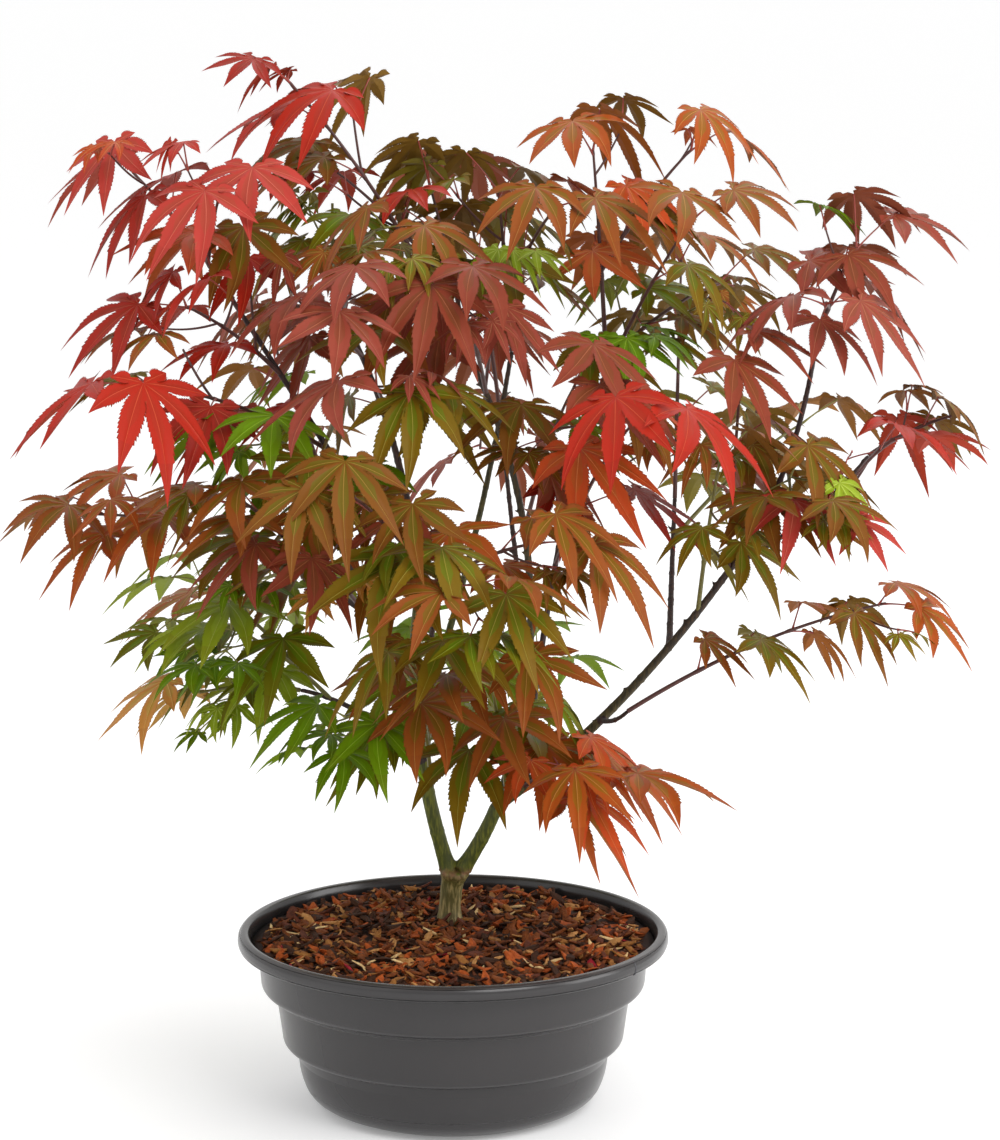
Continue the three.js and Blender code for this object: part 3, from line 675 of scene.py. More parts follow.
@dataclass
class Bowl:
    """The nursery bowl: three round tiers under a rolled lip. Sizes in millimetres.

    A corner of the mark's section is how far it stands out and how far it lies aside.
    """

    height: float = 116.0
    wall: float = 2.4
    floor: float = 3.0
    top_tier: float = 126.4
    lip_radius: float = 140.0
    lip_inner: float = 132.0
    lip_depth: float = 10.8
    support: float = 0.5
    segments: int = 160
    arc_steps: int = 5
    longest_rounding: float = 0.48
    mark_bearing: float = -34.0
    mark_reach: float = 3.6
    mark_drop: float = 0.15
    mark_section: Pairs = ((-0.5, -0.7), (0.28, -0.35), (0.28, 0.35), (-0.5, 0.7))
    finish: PlasticFinish = PlasticFinish()

    def outline(self) -> list[Spot]:
        """Corners of the wall, from under the bowl up over the lip and down inside to the floor.

        Returns:
            The (radius, height, rounding) of each corner.
        """
        top, under = self.height, self.height - self.lip_depth
        return [
            (78.0, 0.0, 3.0), (94.5, 7.0, 10.0), (100.3, 22.0, 12.0),
            (101.6, 37.4, 1.0), (102.8, 38.4, 0.3), (103.0, 39.2, 0.2), (104.6, 39.8, 1.0),
            (110.9, 42.4, 6.0), (112.7, 56.0, 6.0),
            (115.3, 74.2, 1.0), (116.6, 75.2, 0.3), (116.8, 76.0, 0.2), (118.4, 76.6, 1.0),
            (124.8, 79.4, 6.0), (125.9, 93.0, 6.0), (self.top_tier, under - 0.6, 1.4),
            (self.lip_radius - 1.4, under + 0.6, 1.6), (self.lip_radius, under + 3.4, 2.6),
            (self.lip_radius - 0.2, top - 3.2, 2.2), (self.lip_radius - 2.2, top - 0.6, 1.8),
            (self.lip_inner + 3.4, top, 1.4), (self.lip_inner + 1.2, top - 0.8, 1.6),
            (self.lip_inner - 0.4, top - 5.0, 2.4), (self.lip_inner - 0.6, under - 0.2, 1.2),
            (self.top_tier - self.wall, under - 2.6, 1.0), (123.0 - self.wall, 80.0, 5.0),
            (111.0, 75.0, 1.0), (104.0, 41.0, 2.0), (97.0, 20.0, 9.0), (79.0, self.floor, 6.0),
        ]

    def line(self) -> list[Span]:
        """The outline with each corner rounded, and points close to both ends of what is straight.

        Returns:
            The (radius, height) of each point.
        """
        corners = [Vector((radius, height)) for radius, height, _ in self.outline()]
        cuts = [cut for _, _, cut in self.outline()]
        before = [Vector((0.0, 0.0)), *corners[:-1]]
        after = [*corners[1:], Vector((0.0, self.floor))]
        points = []
        for corner, cut, last, following in zip(corners, cuts, before, after):
            back, ahead = last - corner, following - corner
            cut = min(cut, min(back.length, ahead.length) * self.longest_rounding)
            first, final = corner + back.normalized() * cut, corner + ahead.normalized() * cut
            if back.length > 5 * self.support:
                lead = first + back.normalized() * self.support
                points.append((lead.x, lead.y))
            for step in range(self.arc_steps + 1):
                share = step / self.arc_steps
                point = first.lerp(corner, share).lerp(corner.lerp(final, share), share)
                points.append((point.x, point.y))
            if ahead.length > 5 * self.support:
                trail = final + ahead.normalized() * self.support
                points.append((trail.x, trail.y))
        return points

    def mark(self) -> Piece:
        """The small raised joint that the mould leaves on the lip."""
        inner, under = self.lip_radius - self.mark_reach, self.height - self.lip_depth
        line = [(radius, height) for radius, height in self.line() if radius > inner and height > under]
        out = place(self.mark_bearing, 1.0, 0.0)
        aside = UP.cross(out)
        points = []
        for radius, height in line:
            for lift, half in self.mark_section:
                points.append(out * (radius + lift) + aside * half + UP * (height - self.mark_drop))
        mesh = mesh_of("lip_mark", points, ring_faces(len(line), len(self.mark_section)))
        mesh.shade_smooth()
        mesh.materials.append(bpy.data.materials["bowl_plastic"])
        return finished("lip_mark", mesh, ["bowl"])

    def build(self) -> list[Piece]:
        """The bowl as one closed turned wall, and the mark on its lip."""
        line = self.line()
        points = [(0.0, 0.0, 0.0)]
        for radius, height in line:
            for i in range(self.segments):
                turn = 2 * math.pi * i / self.segments
                points.append((radius * math.cos(turn), radius * math.sin(turn), height))
        points.append((0.0, 0.0, self.floor))
        faces = []
        for i in range(self.segments):
            j = (i + 1) % self.segments
            faces.append((0, 1 + j, 1 + i))
            for row in range(len(line) - 1):
                low, high = 1 + row * self.segments, 1 + (row + 1) * self.segments
                faces.append((low + i, low + j, high + j, high + i))
            last = 1 + (len(line) - 1) * self.segments
            faces.append((last + i, last + j, len(points) - 1))
        mesh = mesh_of("nursery_bowl", points, faces)
        mesh.shade_smooth()
        mesh.materials.append(self.finish.material())
        return [finished("nursery_bowl", mesh, ["bowl"]), self.mark()]


# -------- mulch


@dataclass(frozen=True)
class ChipBatch:
    """One lot of chips: their finish, size and how many are strewn."""

    finish: ChipFinish
    length: float
    width: float
    thickness: float
    per_square: float
    shapes: int = 2


@dataclass
class Mulch:
    """The bark mulch: a dark bed and the chips strewn over it. Sizes in millimetres."""

    edge_radius: float = 130.9
    edge_height: float = 106.2
    top_height: float = 108.8
    level_radius: float = 62.0
    bed_rings: int = 26
    bed_segments: int = 96
    strewn_radius: float = 123.5
    seed: int = 7
    bed_under: Pairs = ((123.9, 103.0), (118.0, 97.2))
    tilt: float = 0.62
    scales: Span = (0.55, 1.25)
    sunk: float = 0.5
    piled: float = 4.2
    bed_finish: ChipFinish = ChipFinish("mulch_bed", (30, 16, 12), (58, 32, 20))
    batches: tuple[ChipBatch, ...] = (
        ChipBatch(ChipFinish("chip_crumbs", (54, 25, 9), (112, 56, 20)), 5.0, 3.0, 1.4, 24000.0, 2),
        ChipBatch(ChipFinish("chip_brown", (76, 34, 10), (140, 74, 28)), 11.5, 5.4, 2.3, 13000.0, 3),
        ChipBatch(ChipFinish("chip_dark", (36, 21, 11), (76, 42, 22)), 11.0, 5.8, 2.3, 9000.0, 3),
        ChipBatch(ChipFinish("chip_orange", (128, 52, 12), (190, 92, 32)), 10.5, 5.2, 2.1, 4600.0, 3),
        ChipBatch(ChipFinish("chip_ochre", (116, 68, 24), (172, 116, 56)), 11.5, 5.0, 1.9, 3800.0, 2),
        ChipBatch(ChipFinish("chip_plum", (62, 29, 18), (116, 60, 38)), 11.0, 5.8, 2.3, 3200.0, 2),
        ChipBatch(ChipFinish("chip_tan", (150, 98, 48), (212, 156, 94)), 13.0, 3.4, 1.5, 2500.0, 3),
        ChipBatch(ChipFinish("chip_pale", (206, 162, 102), (248, 220, 164)), 9.0, 2.0, 0.9, 900.0, 2),
        ChipBatch(ChipFinish("chip_crimson", (110, 18, 30), (176, 30, 48)), 8.0, 4.6, 1.8, 90.0, 1),
    )

    def bed_height(self, radius: float, turn: float) -> float:
        """The height of the bed at a place on it."""
        share = max(0.0, (radius - self.level_radius) / (self.edge_radius - self.level_radius))
        x, y = radius * math.cos(turn), radius * math.sin(turn)
        bumps = noise.noise(Vector((x, y, 0.0)) * 0.09) + 0.5 * noise.noise(Vector((x, y, 9.0)) * 0.22)
        return mix((self.top_height, self.edge_height), share**1.5) + 1.3 * bumps * (1 - share**6)

    def bed_mesh(self, name: str, outer: float, closed: bool) -> Mesh:
        """The bed's upper surface out to a radius, closed underneath where asked for.

        Args:
            name: The mesh's name.
            outer: How far it reaches.
            closed: Whether it is closed underneath.

        Returns:
            The mesh.
        """
        count = self.bed_segments
        points = [(0.0, 0.0, self.bed_height(0.0, 0.0))]
        radii = [outer * (ring + 1) / self.bed_rings for ring in range(self.bed_rings)]
        lines = [(radius, None) for radius in radii]
        if closed:
            lines += self.bed_under
        for radius, height in lines:
            for i in range(count):
                turn = 2 * math.pi * i / count
                level = self.bed_height(radius, turn) if height is None else height
                points.append((radius * math.cos(turn), radius * math.sin(turn), level))
        faces = []
        for i in range(count):
            j = (i + 1) % count
            faces.append((0, 1 + i, 1 + j))
            for ring in range(len(lines) - 1):
                low, high = 1 + ring * count, 1 + (ring + 1) * count
                faces.append((low + i, high + i, high + j, low + j))
        if closed:
            last = 1 + (len(lines) - 1) * count
            faces.append(tuple(last + i for i in reversed(range(count))))
        return mesh_of(name, points, faces)

    def chip_mesh(self, name: str, batch: ChipBatch, draw: SeededDraw) -> Mesh:
        """One split chip: a splinter of five uneven sections with torn ends.

        Args:
            name: The mesh's name.
            batch: The lot it belongs to.
            draw: The numbers for its unevenness.

        Returns:
            The mesh.
        """
        section = ((-1.0, -0.45), (-0.2, -1.0), (1.0, -0.5), (0.9, 0.55), (0.1, 1.0), (-0.95, 0.4))
        stations = 5
        bow = draw.span(-0.05, 0.12) * batch.length
        points = []
        for station in range(stations):
            off = 2 * station / (stations - 1) - 1
            narrow = 1 - abs(off) ** 2.4 * draw.span(0.35, 0.85)
            wide = batch.width / 2 * narrow * draw.span(0.8, 1.15)
            thick = batch.thickness / 2 * (1 - 0.45 * off * off) * draw.span(0.75, 1.25)
            aside = draw.span(-0.1, 0.1) * batch.width
            for y, z in section:
                torn = draw.span(-0.09, 0.09) * batch.length * abs(off)
                x = off * batch.length / 2 + torn
                points.append((x, aside + y * wide, bow * off * off + z * thick * draw.span(0.75, 1.2)))
        return mesh_of(name, points, ring_faces(stations, len(section)))

    def strewing_tree(self) -> Tree:
        """The tree that strews chips over a surface.

        Returns:
            A tree with inputs Geometry, Chip, Density, Seed, Tilt, Smallest, Largest, Material.
        """
        inputs = (
            ("Geometry", "Geometry"),
            ("Chip", "Object"),
            ("Density", "Float", 1000.0),
            ("Seed", "Int", 1),
            ("Tilt", "Float", 0.5),
            ("Smallest", "Float", 0.6),
            ("Largest", "Float", 1.2),
            ("Material", "Material"),
        )
        tree, entry, leave = new_tree("strewn_chips", "Geometry", inputs, "Geometry")
        given = entry.outputs
        seed = given["Seed"]
        strewn = tree.add("GeometryNodeDistributePointsOnFaces", distribute_method="RANDOM")
        tree.feed(strewn, Mesh=given["Geometry"], Density=given["Density"], Seed=seed)
        chip = tree.put("GeometryNodeObjectInfo", Object=given["Chip"])
        negative = tree.add("ShaderNodeMath", operation="MULTIPLY")
        tree.link(given["Tilt"], negative.inputs[0])
        negative.inputs[1].default_value = -1.0
        back, ahead = negative.outputs[0], given["Tilt"]
        least = tree.put("ShaderNodeCombineXYZ", X=back, Y=back, Z=-math.pi).outputs[0]
        most = tree.put("ShaderNodeCombineXYZ", X=ahead, Y=ahead, Z=math.pi).outputs[0]
        turn = tree.add("FunctionNodeRandomValue", data_type="FLOAT_VECTOR")
        tree.feed(turn, Min=least, Max=most, Seed=seed)
        size = tree.add("FunctionNodeRandomValue", data_type="FLOAT")
        tree.link(given["Smallest"], size.inputs[RANDOM_LOW])
        tree.link(given["Largest"], size.inputs[RANDOM_HIGH])
        tree.feed(size, Seed=seed)
        lift = tree.add("FunctionNodeRandomValue", data_type="FLOAT_VECTOR")
        tree.feed(lift, Min=(0.0, 0.0, -self.sunk * MM), Max=(0.0, 0.0, self.piled * MM), Seed=seed)
        raised = tree.add("GeometryNodeSetPosition")
        tree.feed(raised, Geometry=strewn.outputs["Points"], Offset=lift.outputs["Value"])
        rotation = tree.put("FunctionNodeEulerToRotation", Euler=turn.outputs["Value"])
        placed = tree.put("GeometryNodeInstanceOnPoints", Points=raised.outputs["Geometry"])
        tree.feed(placed, Instance=chip.outputs["Geometry"], Rotation=rotation.outputs["Rotation"])
        tree.feed(placed, Scale=size.outputs[RANDOM_RESULT])
        tree.end(placed.outputs["Instances"], given["Material"], leave)
        return tree.tree

    def strew(self, tree: Tree, ground: Mesh, batch: ChipBatch) -> list[Mesh]:
        """The chips of one batch, as plain meshes, one for each of its shapes.

        Args:
            tree: The tree that strews them.
            ground: What they are strewn over.
            batch: The lot.

        Returns:
            A plain mesh for each of its shapes.
        """
        draw = SeededDraw(self.seed * 1000 + round(batch.per_square))
        material = batch.finish.material()
        made = []
        for shape in range(batch.shapes):
            name = f"{batch.finish.name}_{shape}"
            chip = new_object(f"{name}_one", self.chip_mesh(name, batch, draw))
            values = {
                "Chip": chip,
                "Density": batch.per_square / batch.shapes,
                "Seed": self.seed + 13 * len(made) + round(batch.length * 7 + batch.per_square),
                "Tilt": self.tilt,
                "Smallest": self.scales[0],
                "Largest": self.scales[1],
                "Material": material,
            }
            made.append(run_tree(name, ground, tree, values))
            bpy.data.objects.remove(chip)
        return made

    def build(self) -> list[Piece]:
        """The bed and the chips on it, each handed to the frame."""
        bed = self.bed_mesh("mulch_bed", self.edge_radius, closed=True)
        bed.shade_smooth()
        bed.materials.append(self.bed_finish.material())
        tree = self.strewing_tree()
        ground = self.bed_mesh("strewn_ground", self.strewn_radius, closed=False)
        lots = [mesh for batch in self.batches for mesh in self.strew(tree, ground, batch)]
        chips = joined("mulch_chips", lots)
        return [
            finished("mulch_bed", bed, ["soil"]),
            finished("mulch_chips", chips, ["soil"]),
        ]


def run_tree(name: str, mesh: Mesh, tree: Tree, values: dict[str, object]) -> Mesh:
    """The plain mesh that a Geometry Nodes tree makes of a mesh.

    Args:
        name: The name of the new mesh.
        mesh: What the tree works on.
        tree: The tree, whose inputs have names.
        values: The value of each named input.

    Returns:
        A new mesh with nothing live on it.
    """
    carrier = new_object(f"{name}_carrier", mesh)
    modifier = carrier.modifiers.new("grown", "NODES")
    modifier.node_group = tree
    named = {item.name: item.identifier for item in tree.interface.items_tree if item.in_out == "INPUT"}
    for key, value in values.items():
        modifier[named[key]] = value
    bpy.context.view_layer.update()
    evaluated = carrier.evaluated_get(bpy.context.evaluated_depsgraph_get())
    made = bpy.data.meshes.new_from_object(evaluated)
    made.name = name
    carrier.modifiers.remove(modifier)
    bpy.data.objects.remove(carrier)
    return made


def joined(name: str, meshes: Sequence[Mesh]) -> Mesh:
    """Several meshes as one, each with its own materials kept.

    Args:
        name: The name of the new mesh.
        meshes: The meshes.

    Returns:
        The new mesh.
    """
    whole = bmesh.new()
    materials: list[Material] = []
    for mesh in meshes:
        first = len(whole.faces)
        whole.from_mesh(mesh)
        whole.faces.ensure_lookup_table()
        start = len(materials)
        materials += [m for m in mesh.materials if m is not None]
        for face in whole.faces[first:]:
            face.material_index += start
    made = bpy.data.meshes.new(name)
    whole.to_mesh(made)
    whole.free()
    for material in materials:
        made.materials.append(material)
    return made


# -------- trunk and limbs


@dataclass(frozen=True)
class LimbRow:
    """One limb: what it grows from, where it ends, how it bows, its radii, its bark's age, how
    much thicker than its line's radius its skin is, and how far aside its skin starts."""

    name: str
    parent: str
    at: float
    bearing: float
    reach: float
    rise: float
    bow: Spot
    foot: float
    tip: float
    ages: Span = (1.0, 1.0)
    girth: float = 1.0
    aside: float = 0.0


LIMB_ROWS = (
    LimbRow("stem_left", "trunk", 1, 152, 24, 335, (-20, 0, 0), 4.8, 3.4, (0.3, 0.8), 1.06, -4.6),
    LimbRow("stem_right", "trunk", 1, 42, 38, 190, (3, 0, 0), 4.5, 4.0, (0.3, 0.62), 1.14, 5.0),
    LimbRow("bough_right", "stem_right", 1, -2, 186, 366, (9, 0, -20), 3.7, 2.3, (0.8, 1.0)),
    LimbRow("leader", "stem_right", 1, 110, 21, 522, (76, 14, 0), 3.1, 1.8, (0.8, 1.0)),
    LimbRow("upright", "bough_right", 0.1, 20, 104, 500, (-10, 20, -6), 2.4, 1.7),
    LimbRow("stem_center", "stem_left", 0.55, 56, 68, 486, (8, 10, -16), 2.7, 1.7, (0.62, 1.0)),
    LimbRow("bough_left_high", "stem_left", 1, 162, 80, 522, (18, 14, 14), 2.9, 1.7),
    LimbRow("bough_left_mid", "stem_left", 0.96, -158, 140, 522, (16, -12, -16), 2.8, 1.7),
    LimbRow("bough_left_low", "stem_left", 0.74, -162, 150, 378, (6, -10, 26), 2.3, 1.5),
    LimbRow("bough_left_foot", "stem_left", 0.4, -172, 98, 276, (-4, 0, 16), 2.3, 1.6),
    LimbRow("bough_right_high", "bough_right", 1, -2, 230, 500, (12, 0, -14), 2.2, 1.7),
    LimbRow("bough_right_far", "bough_right", 0.95, 2, 266, 424, (8, 0, -10), 1.9, 1.5),
    LimbRow("bough_right_low", "bough_right", 0.4, -16, 116, 266, (0, 0, -6), 1.9, 1.5),
    LimbRow("bough_front", "stem_left", 0.66, -92, 130, 378, (0, -20, -22), 2.5, 1.6),
    LimbRow("bough_back_left", "stem_left", 0.5, 122, 152, 364, (0, 14, -24), 2.7, 1.7),
    LimbRow("bough_back_right", "bough_right", 0.68, 42, 200, 378, (0, 10, -12), 2.4, 1.7),
    LimbRow("bough_back", "leader", 0.3, 78, 154, 422, (0, 14, -20), 2.3, 1.6),
)


@dataclass(frozen=True)
class Limb:
    """A limb's line and its radius along it, with what its row says of its skin."""

    name: str
    bend: Bend
    radius_at: RadiusAt
    ages: Span
    girth: float
    aside: float = 0.0


@dataclass
class Skeleton:
    """The trunk and every limb, as one mesh with bark relief. Sizes in millimetres."""

    foot: Span = (-3.0, 36.0)
    soil_height: float = 110.3
    sunk: float = 4.0
    fork: Spot = (1.0, 32.0, 147.0)
    foot_radius: float = 8.4
    flare_height: float = 0.34
    radius: float = 6.3
    fork_radius: float = 6.7
    knot: float = 2.6
    knot_at: float = 0.93
    knot_length: float = 0.1
    collar: float = 0.22
    collar_length: float = 6.0
    girth: float = 1.12
    stub_chance: float = 0.4
    stub_length: Span = (1.2, 3.6)
    ring_height: float = 0.3
    ring_width: float = 1.1
    fold_depth: float = 0.55
    grain_depth: float = 0.12
    scar_reach: float = 16.0
    scar_drop: float = 2.5
    scar_half: float = 5.0
    scar_depth: float = 0.9
    voxel: float = 0.95
    ring_every: float = 27.0
    seed: int = 5
    finish: BarkFinish = BarkFinish()

    def trunk(self) -> Limb:
        """The trunk: upright from the soil, leaning a little to its fork."""
        x, y = self.foot
        low, high = Vector((x, y, self.soil_height)), Vector(self.fork)
        bend = Bend(low, Vector((x, y, (low.z + high.z) / 2)), high)

        def radius_at(share: float) -> float:
            """The trunk's radius, wider at its foot."""
            flare = max(0.0, 1 - share / self.flare_height) ** 2
            swell = (self.foot_radius - self.radius) * flare + (self.fork_radius - self.radius) * share
            return self.radius + swell

        return Limb("trunk", bend, radius_at, (0.0, 0.12), self.girth)

    def limbs(self) -> dict[str, Limb]:
        """Every limb by name, each after the one it grows from."""
        grown = {"trunk": self.trunk()}
        for row in LIMB_ROWS:
            start = grown[row.parent].bend.point(row.at)
            end = place(row.bearing, row.reach, row.rise)
            middle = start.lerp(end, 0.5) + Vector(row.bow)
            bend, radii = Bend(start, middle, end), (row.foot, row.tip)
            skin = (row.ages, row.girth, row.aside)
            grown[row.name] = Limb(row.name, bend, lambda s, r=radii: mix(r, s), *skin)
        return grown

    def stubs(self, limbs: dict[str, Limb]) -> list[tuple[Bend, float, float]]:
        """Short dead stubs and buds on the limbs, as (line, foot radius, tip radius).

        Args:
            limbs: Every limb by name.

        Returns:
            The line, foot radius and tip radius of each.
        """
        draw = SeededDraw(self.seed)
        made = []
        for limb in limbs.values():
            if limb.name == "trunk":
                continue
            count = int(limb.bend.length() / self.ring_every)
            for k in range(1, count):
                if draw() > self.stub_chance:
                    continue
                share = k / count
                node, tangent = limb.bend.point(share), limb.bend.tangent(share)
                side = tangent.cross(Vector((draw() - 0.5, draw() - 0.5, draw() - 0.5))).normalized()
                length = limb.radius_at(share) + draw.span(*self.stub_length)
                tip = node + side * length + tangent * length * 0.7
                made.append((Bend(node, node.lerp(tip, 0.5) + side * 0.4, tip), 1.25, 0.75))
        return made

    def rough_mesh(self, limbs: dict[str, Limb]) -> Mesh:
        """All limbs and stubs as tubes that overlap.

        Args:
            limbs: Every limb by name.

        Returns:
            A mesh of closed tubes.
        """
        points, faces = [], []

        def add(rings: list[list[Vector]]) -> None:
            """Adds one tube of rings to the mesh."""
            faces.extend(ring_faces(len(rings), len(rings[0]), len(points)))
            points.extend(point for ring in rings for point in ring)

        for limb in limbs.values():
            length = limb.bend.length()
            aside = Vector((limb.aside, 0.0, 0.0))
            bend = Bend(limb.bend.start + aside, limb.bend.middle + aside / 2, limb.bend.end)
            add(tube_rings(bend, self.thickness(limb, length), 16, max(8, round(length / 3))))
        trunk = limbs["trunk"].bend
        root = Bend(trunk.start - UP * self.sunk, trunk.start - UP * self.sunk / 2, trunk.start + UP)
        add(tube_rings(root, lambda s: self.foot_radius * self.girth, 16, 4))
        for bend, foot, tip in self.stubs(limbs):
            add(tube_rings(bend, lambda s, r=(foot, tip): mix(r, s), 8, 4))
        return mesh_of("limbs_rough", points, faces)

    def thickness(self, limb: Limb, length: float) -> RadiusAt:
        """The radius of a limb's skin along it, with its collar, or with the trunk's knot.

        Args:
            limb: The limb.
            length: Its length.

        Returns:
            The radius at a share of the limb.
        """

        def trunk_radius(share: float) -> float:
            """The radius at a share of the trunk."""
            knot = math.exp(-(((share - self.knot_at) / self.knot_length) ** 2))
            return limb.radius_at(share) * self.girth + self.knot * knot

        def limb_radius(share: float) -> float:
            """The radius at a share of a limb."""
            collar = self.collar * math.exp(-share * length / self.collar_length)
            return limb.radius_at(share) * limb.girth * (1 + collar)

        return trunk_radius if limb.name == "trunk" else limb_radius

    def shaped(self, limbs: dict[str, Limb]) -> Mesh:
        """The limbs grown together into one skin.

        Args:
            limbs: Every limb by name.

        Returns:
            The mesh of the skin.
        """
        carrier = new_object("limbs_carrier", self.rough_mesh(limbs))
        remesh = carrier.modifiers.new("skin", "REMESH")
        remesh.mode = "VOXEL"
        remesh.voxel_size = self.voxel * MM
        smooth = carrier.modifiers.new("soften", "CORRECTIVE_SMOOTH")
        smooth.iterations = 3
        smooth.use_only_smooth = True
        evaluated = carrier.evaluated_get(bpy.context.evaluated_depsgraph_get())
        mesh = bpy.data.meshes.new_from_object(evaluated)
        mesh.name = "trunk_and_limbs"
        bpy.data.objects.remove(carrier)
        return mesh

    def relief_at(self, limb: Limb, spot: Vector, along: float) -> float:
        """How far the bark stands out: in folds on the trunk, in rings and grain on the limbs.

        Args:
            limb: The limb that the spot lies on.
            spot: The spot.
            along: How far along the limb it lies.

        Returns:
            The height in millimetres.
        """
        if limb.name == "trunk":
            return self.fold_depth * noise.noise(Vector((spot.x * 0.5, spot.y * 0.5, spot.z * 0.12)))
        phase = (along / self.ring_every) % 1.0
        off = min(phase, 1 - phase) * self.ring_every
        ring = self.ring_height * math.exp(-((off / self.ring_width) ** 2)) * min(1.0, along / 12)
        return ring + self.grain_depth * noise.noise(Vector((spot.x * 0.4, spot.y * 0.4, spot.z * 0.2)))

    def scar_at(self, spot: Vector) -> float:
        """How much of the old scar round the fork shows at a spot, from 0 to 1."""
        fork = Vector(self.fork)
        if (spot - fork).length >= self.scar_reach:
            return 0.0
        band = max(0.0, 1 - abs(spot.z - fork.z + self.scar_drop) / self.scar_half)
        return band * min(1.0, max(0.0, 0.7 + 1.2 * noise.noise(spot * 0.3)))

    def samples(self, limbs: dict[str, Limb]) -> list[tuple[Vector, Limb, float, float]]:
        """Points a millimetre apart along every limb, as (point, limb, share, length)."""
        made = []
        for limb in limbs.values():
            length = limb.bend.length()
            steps = max(6, round(length))
            made += [(limb.bend.point(i / steps), limb, i / steps, length) for i in range(steps + 1)]
        return made

    def build(self) -> Piece:
        """The trunk and limbs with their relief, and with the age and scar that the finish reads.

        Returns:
            The piece, handed to the frame.
        """
        limbs = self.limbs()
        mesh = self.shaped(limbs)
        samples = self.samples(limbs)
        tree = KDTree(len(samples))
        for index, (point, *_) in enumerate(samples):
            tree.insert(point * MM, index)
        tree.balance()
        ages, scars, moved = [], [], []
        for vertex in mesh.vertices:
            _, index, _ = tree.find(vertex.co)
            _, limb, share, length = samples[index]
            spot = vertex.co / MM
            scar = self.scar_at(spot)
            rough = self.relief_at(limb, spot, share * length)
            rough += scar * self.scar_depth * noise.noise(spot * 0.6)
            moved.append(vertex.co + vertex.normal * rough * MM)
            ages.append(mix(limb.ages, share))
            scars.append(scar)
        for vertex, spot in zip(mesh.vertices, moved):
            vertex.co = spot
        for name, values in (("age", ages), ("scar", scars)):
            mesh.attributes.new(name, "FLOAT", "POINT").data.foreach_set("value", values)
        mesh.shade_smooth()
        mesh.materials.clear()
        mesh.materials.append(self.finish.material())
        return finished("trunk_and_limbs", mesh, list(limbs))


# -------- growth of the foliage


@dataclass(frozen=True)
class MassRow:
    """One mass of foliage: the limb it grows from and where on it, the length of its leaves, its
    tint, how many finer twigs each of its shoots gets, and its shoots. A shoot is the bearing,
    reach and height of its tip, and how many pairs of leaves it carries."""

    name: str
    parent: str
    at: float
    leaf: float
    tint: Tint
    finer: int
    shoots: tuple[tuple[float, float, float, int], ...]


